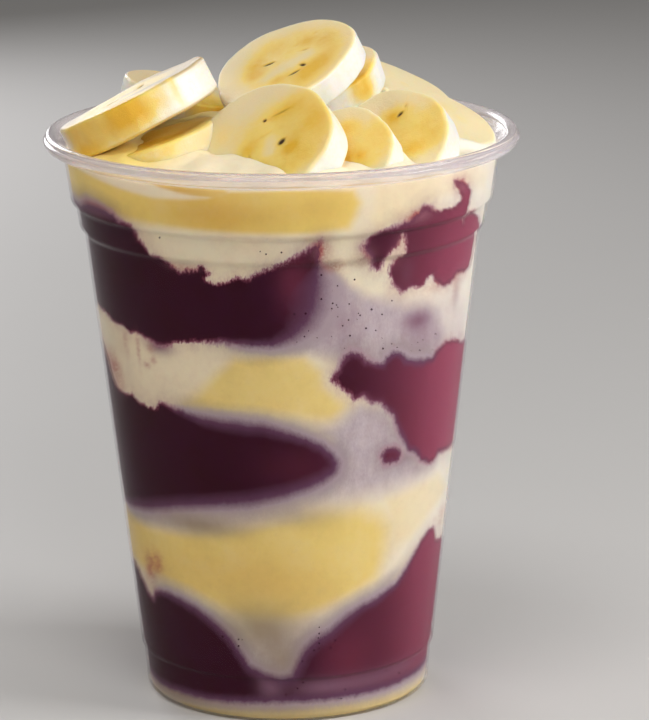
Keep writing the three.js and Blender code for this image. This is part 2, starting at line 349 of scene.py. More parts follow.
RIGHT_ACAI = np.array([
    (36.3, 91.6, 0.6), (33.6, 93.1, 0.6), (32.2, 95.4, 0.5), (32.6, 97, 0.5), (34.2, 98.6, 0.5),
    (36.2, 99.6, 0.4), (36.4, 101.5, 0.4), (35.6, 103.6, 0.5), (34.6, 104.4, 0.6),
    (33.6, 103.6, 0.5), (33, 101.9, 0.5), (31.2, 100.8, 0.5), (29.7, 99.6, 0.5), (29, 98.2, 0.5),
    (28, 96.8, 0.6), (26.7, 97.4, 0.8), (25.6, 99.2, 0.9), (23.8, 100.8, 1.1), (22.8, 102, 0.9),
    (23.6, 103.4, 0.6), (24.8, 104.4, 0.5), (27, 104.9, 0.5), (30.8, 105.6, 0.8),
    (35.3, 106.4, 0.9), (38, 107.6, 0.9), (40, 108.6, 0.8), (42, 108.8, 0.7), (43.2, 107.9, 0.6),
    (45.5, 107, 0.5), (48.5, 107.4, 0.4), (52.3, 107.2, 0.4), (55.6, 107.6, 0.4),
    (56, 109, 0.4), (54.4, 110.4, 0.4), (52.6, 111.8, 0.4), (51.4, 113, 0.4), (53.6, 112.8, 0.4),
    (57.6, 111.3, 0.4), (60, 109.4, 0.4), (59.8, 107.3, 0.4), (58.8, 105.4, 0.3),
    (60.5, 102.4, 0.3), (60.8, 105.2, 0.3), (64.1, 104.8, 0.4), (68, 103.6, 0.4), (73, 101.5, 0.4),
    (76, 99.5, 0.4), (77, 97.3, 0.4), (75.5, 94.4, 0.4), (73.5, 91.8, 0.4), (68.2, 91.4, 0.5),
    (63.3, 92.1, 0.6), (59.7, 91.1, 0.6), (55.7, 90.4, 0.5), (52.4, 91.4, 0.5), (50.3, 92.8, 0.4),
    (48.5, 93.6, 0.4), (46.8, 93.3, 0.4), (45, 92.2, 0.4), (43, 91.6, 0.5), (39.6, 92, 0.6),
])

# %% Outlines of the middle and lower acai
MIDDLE_ACAI = np.array([
    (14.7, 74.6, 0.5), (16.5, 76.6, 0.9), (17.9, 78.8, 1.2), (20.6, 80.1, 1.3), (23.4, 79.3, 1.2),
    (25.5, 77.6, 1.1), (28.6, 76.9, 1.2), (31.6, 76.6, 1.4), (32.6, 77.9, 1.6), (35.2, 78.9, 1.6),
    (38, 78.3, 1.6), (41.2, 76.7, 1.8), (47.8, 75.6, 1.8), (53, 75.3, 1.3), (55.3, 76.8, 0.8),
    (59.3, 77.6, 0.7), (66.8, 77.3, 0.5), (73.8, 75.4, 0.4), (86, 74.5, 0.4), (100, 75, 0.5),
    (120, 73, 0.5), (150, 68, 0.8), (180, 68.5, 1.7), (210, 71, 0.6), (240, 69.5, 0.5),
    (256, 68, 0.4), (264, 73, 0.6), (274, 75.6, 0.6), (279.5, 75.6, 0.6), (283, 74.2, 0.6),
    (285.6, 72.4, 0.5), (288.2, 70, 0.4), (290.6, 67.8, 0.4), (297.5, 67.1, 0.3), (302.6, 67.5, 0.3),
    (305.7, 66.7, 0.3), (308.8, 66.4, 0.3), (311.6, 65.8, 0.3), (315, 66.3, 0.3), (316.8, 67.9, 0.4),
    (320, 67.7, 0.7), (323.3, 67.1, 1.1), (327.2, 66.6, 1.6), (335, 65.9, 2.4), (344.5, 65.5, 2.8),
    (354, 65.1, 2.6), (361.6, 63.5, 2.2), (368, 62, 2), (372.2, 60.4, 2), (375.8, 58.5, 2.2),
    (377.6, 56.4, 2.4), (376.6, 54.5, 2.6), (372.4, 52.7, 2.8), (368, 51.6, 3), (361.4, 50.3, 3),
    (354.8, 49.2, 3.2), (347.5, 48.2, 3.2), (332.5, 46.9, 3), (321, 45.7, 3), (302, 43, 2.6),
    (287, 41.6, 1.8), (274, 41.3, 0.8), (250, 42, 0.8), (225, 47, 0.8), (200, 51, 1.7),
    (170, 53, 1.7), (140, 54, 0.8), (110, 53.5, 0.6), (90, 53, 0.6), (79, 52.9, 0.6),
    (66.5, 53.4, 0.8), (62.9, 54, 0.9), (60.4, 52.7, 0.7), (57, 52.4, 0.8), (51, 54.1, 1.1),
    (47.7, 56, 1.4), (44.4, 56.8, 1.4), (41.6, 59.4, 1.4), (39, 62.5, 1.2), (37, 65, 1.1),
    (33.8, 67.2, 1), (31.4, 68.7, 0.9), (28.2, 69, 0.9), (25, 70.8, 0.9), (22.1, 69.8, 0.6),
    (19.6, 71.8, 0.5), (17.2, 73.3, 0.5),
])
LOWER_ACAI_TOP = np.array([
    (-15, 12.6, 2.4), (-9, 10.8, 2.4), (-3, 9.9, 2.6), (1.5, 10.6, 3), (3.5, 13, 3), (6, 16, 3),
    (10.3, 18.3, 3), (16, 20, 2.8), (19.5, 21.6, 2.8), (24, 23.3, 2.5), (28.4, 24.6, 2.2),
    (33.4, 25.4, 2), (38.6, 26.6, 1.8), (44.1, 28, 1.5), (48.2, 29.8, 1.3), (51.8, 32.3, 1.1),
    (56.3, 34.9, 0.8), (60.5, 36.4, 0.6), (65.5, 37.2, 0.4), (67.6, 35.8, 0.4), (69.6, 33.2, 0.4),
    (74, 33, 0.4), (79, 32.7, 0.3), (100, 29, 0.5), (125, 22, 0.8), (150, 18, 1.7), (180, 21, 0.8),
    (215, 24, 0.8), (250, 26.5, 0.6), (270, 28.2, 0.6), (283, 28.4, 0.5), (288, 27.6, 0.5),
    (292.5, 25.4, 0.7), (296, 23.6, 1), (299.5, 22.8, 1), (301.5, 24.6, 1.1), (305, 25.6, 1.4),
    (311, 25.6, 1.8), (317, 25.2, 2), (324, 24, 2.2), (329.5, 22.4, 2.3), (334, 20.7, 2.4),
    (338, 18.6, 2.4), (341.5, 15.8, 2.4),
])
LOWER_ACAI_BASE = np.array([
    (-2, 4.6, 2), (45, 4.8, 1.8), (90, 5.4, 1.6), (180, 5.2, 1.6), (270, 3.6, 1.4), (300, 3.4, 1.6),
    (325, 3.6, 1.8),
])
ACAI_BLOB = np.array([
    (33, 56.8, 1.1), (34.6, 58, 1.1), (37.6, 58.2, 1.1), (40.6, 57.3, 1.1), (41.6, 56, 1.1),
    (39.6, 55, 1.1), (36.8, 54.8, 1.1), (34, 55.4, 1.1),
])

# %% Outlines of the gold
GOLD_BAND = np.array([
    (-84, 106, 1.8), (-96, 107.6, 3.4), (-101, 110.6, 4), (-96, 113.4, 3), (-84, 114.4, 1),
    (-72.8, 114.4, 0.8), (-62.9, 114, 0.7), (-55, 113.4, 0.7),
    (-46.6, 112.7, 0.7), (-36, 112, 0.8), (-27, 112.2, 0.6), (-20, 112.8, 0.5), (-13, 114.4, 0.5),
    (0, 114.8, 0.5), (10, 114.6, 0.6), (18.4, 114.2, 1), (20.6, 111.6, 1.2), (19.4, 109, 1.3),
    (17.6, 106.4, 1.2), (8, 105.8, 0.9), (-10, 105.9, 0.9), (-28, 106.2, 1), (-46, 106.4, 1.6),
    (-62, 107.8, 2),
])
GOLD_STRIP = np.array([
    (-37, 115.3, 0.5), (-31, 115.4, 0.4), (-24, 115, 0.4), (-15, 115, 0.5), (-12, 113.6, 0.5),
    (-17, 113, 0.4), (-22, 113.1, 0.4), (-27, 113.5, 0.4), (-33, 114.3, 0.4),
])
GOLD_RIGHT = np.array([
    (25, 114.8, 1.4), (40, 115.4, 1.4), (62, 115, 1.6), (72, 112, 2), (70, 109, 2), (56, 111.5, 2),
    (44, 110, 1.6), (30, 106.6, 1.4), (25.5, 104.6, 1.2), (24, 108, 1.2),
])
GOLD_MIDDLE = np.array([
    (-33, 68.6, 2.2), (-27, 71.5, 2), (-22, 75, 1.8), (-15, 79.2, 1.5), (-4, 79.8, 1.4),
    (6, 79.6, 1.4), (11, 76.4, 1.4), (12.2, 73, 1.4), (16, 70.6, 1.6), (21, 68.4, 1.8),
    (15, 65.6, 2), (4, 66.8, 2), (-10, 67.8, 2), (-22, 67.4, 2),
])
GOLD_LOWER = np.array([
    (-84, 29, 2), (-96, 30.6, 3.6), (-102, 34, 4), (-97, 37.4, 3.6), (-84, 39.2, 2),
    (-74, 40, 2), (-55, 39.6, 2.4), (-36, 41.5, 2.6), (-18, 43.5, 2.6),
    (0, 45.2, 2.8), (14, 46.4, 3), (26, 46, 3.4), (34, 44.2, 4), (39, 41, 5), (38, 36.5, 4.6),
    (36, 32.6, 3), (34, 29.8, 2.6), (26, 27.8, 2.2), (14, 25, 2.2), (2, 23, 2.4), (-12, 22.4, 2.4),
    (-24, 24.5, 2.4), (-38, 27.6, 2), (-52, 28.6, 2),
])
GOLD_FAR = np.array([
    (36, 47.4, 2), (51, 48.6, 2), (65, 48.8, 2), (76, 44, 2), (60, 40.6, 2), (49, 37, 2), (40, 36, 3),
])
GOLD_BEHIND = np.array([
    (105, 60, 3), (130, 64, 3), (170, 60, 3), (200, 64, 3), (206, 58, 3), (170, 56, 3), (130, 57, 3),
])
GOLD_BEHIND_LOW = np.array([
    (130, 36, 3), (160, 40, 3), (200, 38, 3), (235, 35, 3), (236, 31, 3), (200, 29, 3), (150, 27, 3),
])
GOLD_BASE = np.array([
    (-50, -1, 1), (-50, 1.6, 1), (-20, 2.6, 1.4), (10, 3.2, 1.4), (40, 2.8, 1.4), (75, 2.4, 1.2),
    (75, -1, 1),
])

# %% Outlines of the lilac
LILAC_UPPER = np.array([
    (7, 97, 3), (14.5, 97.2, 1), (17.2, 95.1, 1), (20, 93.6, 1.3), (24, 91.8, 1.8), (31, 90.3, 2.2),
    (38, 88.6, 3), (48, 87.6, 3), (54, 86, 3), (59, 81, 3), (60, 76, 2), (48, 74, 2), (34, 75, 2),
    (24, 76.4, 2.2), (15, 79, 2.2), (6, 80.4, 1.8), (-6, 80.8, 1.6), (-16, 81, 1.4), (-12, 84, 2),
    (0, 90, 3),
])
LILAC_RIGHT = np.array([
    (50, 89, 3), (62, 88, 2.4), (72, 85, 2.4), (77, 79, 2.4), (76, 74, 2), (56, 74, 2), (52, 80, 2),
])
LILAC_MIDDLE = np.array([
    (19, 66.5, 3), (24, 68.6, 2), (34, 66.5, 2), (40, 61, 2), (44, 56.5, 2), (55, 53, 3),
    (62, 51.8, 3), (50, 49.8, 3.4), (36, 49, 3.6), (22, 48.6, 3.6), (8, 48.2, 3.4), (10, 54, 3),
    (14, 62, 3), (2, 65.2, 2.4), (-14, 66.6, 2.2), (-24, 67.4, 1.8), (-14, 64, 2), (8, 62, 3),
])
LILAC_LOW = np.array([
    (-28, 22, 3), (-16, 19.6, 3.4), (-6, 20.4, 3.4), (6, 21.6, 3.4), (18, 24.4, 3.2), (30, 27.4, 2.6),
    (44, 30.8, 2), (34, 25, 2), (10, 14, 2), (2, 5, 2), (-8, 5, 2), (-16, 12, 2),
])
LILAC_UNDER = np.array([
    (-74, 41.4, 1.2), (-50, 42.4, 2), (-30, 44.6, 2.6), (-10, 46.6, 3), (8, 49, 3),
    (4, 46, 3), (-16, 42.8, 3), (-40, 40.2, 2.6), (-66, 39.8, 1.6),
])
LILAC_BEHIND = np.array([
    (120, 84, 3), (150, 80, 3), (180, 78, 3), (215, 80, 3), (200, 74, 3), (160, 72, 3), (125, 78, 3),
])


# %% All outlines together
def all_round(edge):
    """An edge that closes round the cup, repeated a turn before and a turn after itself."""
    return np.vstack([edge + (turn, 0, 0) for turn in (-360, 0, 360)])


LOWER_ACAI = np.vstack([all_round(LOWER_ACAI_TOP), all_round(LOWER_ACAI_BASE)[::-1]])
ACAI_OUTLINES = (UPPER_ACAI, RIGHT_ACAI, MIDDLE_ACAI, LOWER_ACAI, ACAI_BLOB)
# Each tint has its outlines with the strength that it reaches well inside them.
TINT_OUTLINES = {
    "gold": [
        (GOLD_BAND, 1), (GOLD_STRIP, 0.9), (GOLD_RIGHT, 0.2), (GOLD_MIDDLE, 0.82),
        (GOLD_LOWER, 0.9), (GOLD_FAR, 0.35), (GOLD_BEHIND, 0.9), (GOLD_BEHIND_LOW, 0.9),
        (GOLD_BASE, 0.75),
    ],
    "lilac": [
        (LILAC_UPPER, 0.95), (LILAC_RIGHT, 0.4), (LILAC_MIDDLE, 0.95), (LILAC_LOW, 0.75),
        (LILAC_UNDER, 0.7), (LILAC_BEHIND, 0.8),
    ],
}
print("points of the acai's outlines:", [len(outline) for outline in ACAI_OUTLINES])

# %% Distance to an outline
ARC = 0.66


def outline_depth(bearing, height, outline):
    """How deep each wall point lies in an outline, in mm, and the softness of its nearest edge.

    One degree is ARC mm long. The distance to a stretch is to the foot of the perpendicular on
    it, held between its ends, and a point is inside if a level line from it crosses an odd
    number of stretches.
    """
    x, z = (bearing * ARC)[:, None], height[:, None]
    start, end = outline, np.roll(outline, -1, axis=0)
    x0, z0, x1, z1 = start[:, 0] * ARC, start[:, 1], end[:, 0] * ARC, end[:, 1]
    dx, dz = x1 - x0, z1 - z0
    share = np.clip(((x - x0) * dx + (z - z0) * dz) / (dx**2 + dz**2), 0, 1)
    distance = np.hypot(x - x0 - share * dx, z - z0 - share * dz)
    nearest = distance.argmin(axis=1)[:, None]
    crosses = (z0 > z) != (z1 > z)
    level = x0 + (z - z0) * dx / np.where(dz == 0, 1, dz)
    inside = (crosses & (x < level)).sum(axis=1) % 2 == 1
    depth = np.take_along_axis(distance, nearest, axis=1)[:, 0]
    along = np.take_along_axis(share, nearest, axis=1)[:, 0]
    soft0, soft1 = start[nearest[:, 0], 2], end[nearest[:, 0], 2]
    return np.where(inside, depth, -depth), soft0 + along * (soft1 - soft0)


# %% Depth in several outlines
FAR_OUTSIDE = -99.0


def deepest(bearing, height, outlines):
    """The greatest depth in any outline, seen also one turn on, and that outline's softness."""
    depth, softness = np.full(bearing.shape, FAR_OUTSIDE), np.ones(bearing.shape)
    for outline in outlines:
        for turn in (0, 360):
            found, soft = outline_depth(bearing + turn, height, outline)
            better = found > depth
            depth, softness = np.where(better, found, depth), np.where(better, soft, softness)
    return depth, softness


def tint_share(bearing, height, tinted):
    """Each outline's strength well inside it, 0 well outside, and a smooth step between."""
    share = np.zeros(bearing.shape)
    for outline, strength in tinted:
        depth, softness = deepest(bearing, height, (outline,))
        share = np.maximum(share, strength * smooth_step(depth / softness, -1, 1))
    return share


# %% Small places of colour
# Soft round spots: (bearing, height, reach in degrees, reach in mm upwards, strength).
PLACES = {
    "deep_gold": [
        (-18, 109.6, 16, 4, 0.9), (12, 110.4, 9, 3, 0.3), (-34, 33, 26, 5, 0.3), (-4, 31, 20, 6, 0.4),
        (-82, 34, 12, 8, 0.6), (-29, 114.2, 9, 1.2, 0.9), (150, 62, 20, 4, 0.3),
    ],
    # Icy: frost grain, and painted light that makes acai and cream paler, most on the right where the main
    # lamp falls.
    "icy_and_lit": [
        (70, 74, 32, 110, 0.86), (128, 60, 30, 200, 0.45), (-150, 60, 40, 200, 0.4),
        (22, 13, 12, 9, 0.26), (3, 96, 5, 7, 0.28), (4, 56, 14, 5, 0.1),
    ],
    # Smoke: grey beige where dark acai shows through thin cream, and partly painted shade low on the left
    # and at the foot.
    "smoke_and_shade": [
        (-10, 21, 15, 5, 0.85), (-2, 14, 8, 4, 0.6), (-31, 42.4, 15, 2.2, 0.8), (5, 45.4, 13, 2.4, 0.4),
        (-54, 3, 22, 2, 0.7), (-12, 2.6, 34, 1.6, 0.4), (170, 20, 30, 5, 0.6),
    ],
    "mauve": [
        (44, 84.6, 6.4, 2.5, 0.9), (48, 80, 8, 3.4, 0.4), (34, 7.4, 40, 2.2, 0.8), (-2, 7, 12, 3, 0.5),
        (12, 90, 7, 7, 0.35), (19, 85, 6, 4, 0.25), (44, 55.5, 5, 1.6, 0.5),
        (64, 88, 2.4, 3, 0.4), (-41, 80.2, 5, 1.6, 1), (150, 82, 20, 4, 0.6), (205, 54, 20, 4, 0.6),
    ],
    "rose": [
        (10.4, 102, 2.4, 2.4, 0.9), (14, 98.4, 3.6, 1.2, 0.8), (23.4, 100, 3, 2.2, 0.6),
        (38.5, 107.3, 4.8, 1.5, 1), (55, 111.6, 3, 2, 0.7), (34, 100.5, 2, 3.4, 0.5),
        (-66, 71, 3.6, 3, 1), (-72, 73, 5, 2.4, 0.8), (-60, 107, 9, 1.6, 0.8),
        (-55.5, 31.6, 4.6, 2.4, 1), (-61, 28.6, 4, 3.4, 0.8), (-57.2, 78.6, 1.3, 2.4, 0.7),
        (-50.6, 78.2, 0.8, 3.2, 0.9), (-44.6, 79, 1.8, 1, 0.8),
        (-47.4, 75.4, 1.6, 0.9, 0.8), (-44, 76.7, 1.3, 0.7, 0.6), (-30, 97.6, 5, 0.8, 0.6),
        (64, 91.4, 5, 1.6, 0.5), (50, 91, 5, 1.4, 0.4), (62, 88, 2, 3, 0.3),
        (74, 38, 5, 2.4, 0.5), (120, 104, 12, 2, 0.6), (215, 77, 14, 2, 0.6), (160, 50, 12, 2, 0.6),
    ],
    "melted": [
        (12, 7.4, 11, 2.2, 0.7), (30, 7.4, 16, 2.2, 0.7), (52, 8, 14, 2, 0.5), (-7, 8.6, 5, 4, 1),
        (170, 8, 40, 2, 0.5), (38, 95, 3, 4, 0.2),
    ],
    "specks": [
        (6, 91, 7, 6, 0.9), (14, 88, 8, 6, 1), (26, 87, 9, 4, 0.6), (32, 80, 10, 2.6, 1), (46, 79, 6, 3, 1),
        (-39, 103, 5, 3, 0.6), (-2, 101.6, 5, 2.6, 0.7), (-10, 97, 5, 1.4, 0.5), (12, 16, 8, 6, 1),
        (-22, 17, 8, 4, 0.7), (30, 7, 30, 3, 0.8), (16, 56, 5, 4, 0.6), (170, 80, 30, 8, 0.8),
    ],
}
print("small places of colour:", {name: len(places) for name, places in PLACES.items()})


# %% Spots and the gold under the slices
def spots(bearing, height, places):
    """The sum of soft round spots: strength * exp(-(across / wide)^2 - (up / high)^2)."""
    total = np.zeros(bearing.shape)
    for at, level, wide, high, strength in places:
        across, up = wrapped(bearing - at) / wide, (height - level) / high
        total += strength * np.exp(-(across**2) - up**2)
    return np.clip(total, 0, 1)


HEAP_GOLD = [(-19, -10, 13, 1), (-31, -19, 12, 1), (-22, 12, 14, 0.8)]


def heap_gold(points):
    """The cream under the left slices is gold: round spots of (x, y, reach, strength) from above."""
    total = np.zeros(len(points))
    for at_x, at_y, reach, strength in HEAP_GOLD:
        away = np.hypot(points[:, 0] - at_x, points[:, 1] - at_y) / reach
        total = np.maximum(total, strength * np.exp(-(away**4)))
    return total * smooth_step(points[:, 2], HEAP_EDGE - 0.6, HEAP_EDGE + 0.2)


# %% Values kept on a filling
LEAST_SOFTNESS = 0.2


def marble(piece):
    """Keeps the acai's depth and softness and the shares of all tints on a filling's points."""
    points = points_of(piece)
    bearing, height = np.degrees(np.arctan2(points[:, 0], -points[:, 1])), points[:, 2]
    depth, softness = deepest(bearing, height, ACAI_OUTLINES)
    keep_values(piece, "acai_depth", depth)
    keep_values(piece, "softness", softness + LEAST_SOFTNESS)
    tints = {name: tint_share(bearing, height, tinted) for name, tinted in TINT_OUTLINES.items()}
    tints["gold"] = np.maximum(tints["gold"], heap_gold(points))
    for name, share in tints.items():
        keep_values(piece, name, share)
    for name, places in PLACES.items():
        keep_values(piece, name, spots(bearing, height, places))


# %% [markdown]
# ## Where the banana slices lie
#
# Each slice is a thick round cut. It is placed by the middle of its body. Its face is tipped
# from straight up by its tilt, about a level line whose direction is its lean. The cream needs
# these places too, because it creeps a little way up every slice that sinks into it.

# %% Places of the slices
# (middle, radius, thickness, tilt and lean in degrees, and how far from round it is).
SLICES = {
    "top": ((1.8, -1.0, 130.3), 15, 6.6, 31, -48, 0.04),
    "front": ((-3.2, -26.8, 118.2), 16.5, 7.4, 44, -42, 0.03),
    "left_rim": ((-28.9, -6.8, 124.5), 16.9, 7.6, 27, -100, 0.03),
    "right": ((23.3, -18.5, 117.3), 13, 7.4, 48, -33, 0.04),
    "front_right": ((12.5, -27.1, 116.1), 12.1, 6.6, 47, -31, 0.03),
    "right_back": ((24.5, 20.8, 120.9), 12.2, 7.2, 27, 78, 0.03),
    "behind_top": ((9.6, 10, 125.8), 11.6, 6.8, 24, -46, 0.03),
    "right_rim": ((32.2, 2.2, 117.6), 11.6, 7, 24, 58, 0.03),
    "left_low": ((-25, -12.6, 116.4), 13.8, 6.4, 19, -98, 0.03),
    "left_middle": ((-5.6, 4.6, 117.2), 11.8, 6.8, 13, -60, 0.03),
    "left_back": ((-22, 22.4, 120.3), 12.6, 7.2, 15, 84, 0.04),
    "back": ((1, 32.3, 116), 11.6, 7.2, 12, 160, 0.05),
}
radii = [radius for _, radius, *_ in SLICES.values()]
print("slices:", len(SLICES), "and", 2 * min(radii), "to", 2 * max(radii), "mm across")


def leaning(tilt, lean):
    """The turn that tips a face by tilt about the level line (cos(lean), sin(lean), 0)."""
    turn = math.radians(lean)
    axis = Vector((math.cos(turn), math.sin(turn), 0))
    return np.array(Matrix.Rotation(math.radians(tilt), 3, axis))


# %% [markdown]
# ## The fillings
#
# A filling is a closed skin: out along the surface below it, up the wall, and back in along its
# own top. The wall has many rings, because the marbling is read there. The last cream is soft
# and shows between the slices, so its top has low waves and rises where a slice presses on it.

# %% Waves and creeping cream
WAVE_COUNT = 14
WAVE_LENGTHS = (7, 22)
WAVE_RISE = 0.55
WAVE_DRAW = 5
CREEP_RISE, CREEP_REACH = 1.3, 1.8


def waves(x, y, seed, lengths, count=WAVE_COUNT):
    """Low waves, mostly from -1 to 1: the sum of count sines, divided by the root of count.

    Each sine has a direction, a length and an offset drawn for it.
    """
    draw = np.random.default_rng(seed)
    turn = draw.uniform(0, 2 * np.pi, count)
    number = 2 * np.pi / draw.uniform(*lengths, count)
    offset = draw.uniform(0, 2 * np.pi, count)
    across = x[..., None] * np.cos(turn) + y[..., None] * np.sin(turn)
    return np.sin(across * number + offset).sum(axis=-1) / math.sqrt(count)


def creep(points):
    """How far cream climbs: CREEP_RISE beside a slice, fading with the distance from its side."""
    rise = np.zeros(points.shape[:-1])
    for at, radius, thick, tilt, lean, _ in SLICES.values():
        local = (points - np.array(at)) @ leaning(tilt, lean)
        beside = np.maximum(np.hypot(local[..., 0], local[..., 1]) - radius, 0)
        above = np.maximum(np.abs(local[..., 2]) - thick / 2, 0)
        rise = np.maximum(rise, np.exp(-((np.hypot(beside, above) / CREEP_REACH) ** 2)))
    return CREEP_RISE * rise


# %% Surfaces of a filling
CAP_ROWS = 12
TOP_ROWS = 90
WALL_SPACING = 0.45
FLOOR_ROWS = 6
FLOOR_MARGIN = 0.6
CALM_FROM = 0.93


def cap(wall, core, shares):
    """Rings on a surface between fillings: height = core + (wall - core) * share^2."""
    edge = room_radius(wall)[None, :]
    share = shares[:, None]
    height = core + (wall[None, :] - core) * share**2
    return ring_points(edge * share, BEARINGS[None, :], height)


def floor_rings():
    """Rings on the cup's floor: flat in the middle, and down into the foot near the wall."""
    floor = floor_line(LOWEST)
    middle = np.linspace(0, floor[1, 0], FLOOR_ROWS)[1:]
    out = np.concatenate([middle, floor[2:, 0], [room_radius(LOWEST) - FLOOR_MARGIN]])
    height = np.interp(out, floor[:, 0], floor[:, 1])
    return ring_points(out[:, None], BEARINGS[None, :], height[:, None])


def heap_top(wall, core, shares):
    """The last cream's top: the same dome, with waves and with cream creeping up the slices.

    Both fade to nothing from CALM_FROM of the radius out, so that its edge stays level.
    """
    rings = cap(wall, core, shares)
    calm = 1 - smooth_step(shares[:, None], CALM_FROM, 1.0)
    lift = WAVE_RISE * waves(rings[..., 0], rings[..., 1], WAVE_DRAW, WAVE_LENGTHS) + creep(rings)
    rings[..., 2] += calm * lift
    return rings


# %% One filling
def filling(name, index):
    """The skin of one filling, from the surface below it to its own top."""
    low, high = walls[index], walls[index + 1]
    rows = max(int(np.ceil((high - low).max() / WALL_SPACING)), 3)
    out = np.arange(1, CAP_ROWS) / CAP_ROWS
    up = np.linspace(0, 1, rows + 1)[:, None]
    height = low + (high - low) * up
    side = ring_points(room_radius(height), BEARINGS[None, :], height)
    if name == "cream_top":
        inward = np.arange(TOP_ROWS - 1, 0, -1) / TOP_ROWS
        top = heap_top(high, cores[index + 1], inward)
    else:
        top = cap(high, cores[index + 1], out[::-1])
    bottom = cap(low, cores[index], out) if index else floor_rings()
    rings = np.vstack([bottom, side, top])
    ends = ring_points(0.0, 0.0, np.array([cores[index], top[-1, :, 2].mean()]))
    return closed_skin(name + "_filling", rings, ends[0], ends[1])


# %% The fillings' meshes
filling_pieces = {}
for index, name in enumerate([*FILLINGS, "cream_top"]):
    filling_pieces[name] = filling(name, index)
    marble(filling_pieces[name])
print("filling faces:", sum(len(piece.data.polygons) for piece in filling_pieces.values()))

# %% [markdown]
# ## The banana slices
#
# A cut banana is a rounded, slightly angular disc. Its rim is smooth where the peel was, with
# faint ridges along the fruit, and the knife leaves the faces a little uneven. Round the heart
# of the fruit lies a gold zone with a few dark seeds in small pits. The zone and the seeds are
# kept as numbers on the points, so that they follow each slice however it lies. All their
# places are (x, y) on the slice, in shares of its radius, seen from above its upper face.

# %% The gold heart of each slice
# A gold zone is (x, y, reach), and a pale core a stretch (x, y, x, y, reach) along its middle.
# The wide gold hearts of left_low and left_middle are painted shade: the deep gold of banana that little
# light reaches.
HEARTS = {
    "top": (0.13, -0.05, 0.88), "front": (0.36, -0.08, 0.76), "right": (0.42, 0.1, 0.68),
    "front_right": (0.38, 0.12, 0.7), "left_low": (0.0, 0.0, 1.1), "behind_top": (0.5, -0.4, 0.6),
    "left_rim": (-0.1, 0.1, 0.7), "right_back": (0.0, 0.0, 0.1), "right_rim": (0.0, 0.0, 0.1),
    "left_middle": (-0.4, 0.3, 1.1), "left_back": (0.1, 0.0, 0.5),
}
PLAIN_HEART = (0.05, 0, 0.85)
PALE_CORES = {
    "top": (-0.26, -0.28, 0.34, -0.05, 0.14), "front": (0.22, 0.15, 0.12, -0.2, 0.09),
    "right": (0.3, 0.84, 0.66, 0.5, 0.2), "front_right": (0.2, 0.95, 0.6, 0.6, 0.16),
    "left_low": (0.9, 0.6, 0.9, 0.7, 0.3),
}
PLAIN_CORE = (-0.1, 0, 0.1, 0, 0.16)
HEART_RIPENESS = 0.85
print("slices with a heart of their own:", ", ".join(HEARTS))

# %% Patches on the slices
# Deeper gold patches: (x, y, reach, strength). They reach down the rim too.
# The patches on left_rim, left_low and left_middle are painted shade: the deep gold of banana where little
# light falls.
PATCHES = {
    "top": [
        (0.38, 0.29, 0.12, 0.9), (0.64, 0.22, 0.2, 0.5), (-0.42, -0.04, 0.16, 1.1), (-0.4, 0.2, 0.14, 0.7),
        (-0.16, 0.46, 0.22, 0.35), (0.54, -0.36, 0.18, 0.75), (0.3, -0.47, 0.14, 0.8),
        (-0.11, -0.42, 0.12, 0.8), (0.24, -0.66, 0.18, 0.4), (0.78, -0.12, 0.16, 0.3),
    ],
    "front": [
        (0.4, -0.29, 0.13, 0.95), (0.21, 0.14, 0.12, 0.6), (0.71, 0.36, 0.26, 0.35),
        (0.81, 0.04, 0.22, 0.35), (0.7, -0.22, 0.2, 0.35), (0.51, -0.58, 0.2, 0.3), (0.38, 0.35, 0.12, 0.5),
        (-0.12, 0.01, 0.13, 0.8), (0.3, -0.62, 0.15, 0.3), (0.02, -0.34, 0.12, 0.3),
        (-0.4, 0.43, 0.26, 0.4),
    ],
    "right": [
        (0.12, 0.46, 0.13, 0.95), (-0.02, 0.56, 0.12, 0.4), (0.68, -0.19, 0.2, 0.45),
        (0.33, -0.3, 0.16, 0.6), (0.55, 0.03, 0.2, 0.2),
    ],
    "front_right": [(0.35, -0.16, 0.17, 0.6), (0.3, 0.56, 0.2, 0.3), (0.1, -0.1, 0.16, 0.4)],
    "behind_top": [(0.76, -0.82, 0.26, 1.9)],
    "left_low": [(0.1, 0.8, 0.5, 0.5), (0, -0.7, 0.9, 0.8)],
    "right_back": [(0.2, -0.75, 0.2, 0.35), (0.6, -0.5, 0.14, 0.3)],
    "left_rim": [
        (0.03, -1, 0.2, 1.4), (-0.2, -0.97, 0.2, 1.4), (-0.62, -0.77, 0.42, 1.1),
        (-0.9, -0.45, 0.25, 0.5),
        (0.55, -0.83, 0.05, 0.9), (0.15, -0.99, 0.1, 0.5), (0.36, -0.93, 0.14, 0.5),
    ],
    "left_middle": [(-0.5, -0.85, 0.9, 1.3)],
    "left_back": [(0.6, -0.65, 0.5, 1.7)],
    "right_rim": [(0.32, 0.16, 0.12, 0.3), (0.03, 0.45, 0.2, 0.3)],
}
# How dull and brownish a face is all over, dull patches on it, and gold low down on the rim:
# painted shade on the slices that little light reaches, the dull brown partly browning too.
DULL_SHADED_FACES = {"left_rim": 0.9, "left_middle": 0.5, "left_low": 0.3, "left_back": 0.4, "back": 0.3}
DULL_SHADE_PATCHES = {"left_low": [(0.75, -0.65, 0.35, 0.5)]}
UNDERSIDE_SHADE_PATCHES = {"left_rim": [(-0.8, -0.6, 0.34, 1.4)]}
print("patches:", {name: len(patches) for name, patches in PATCHES.items()})

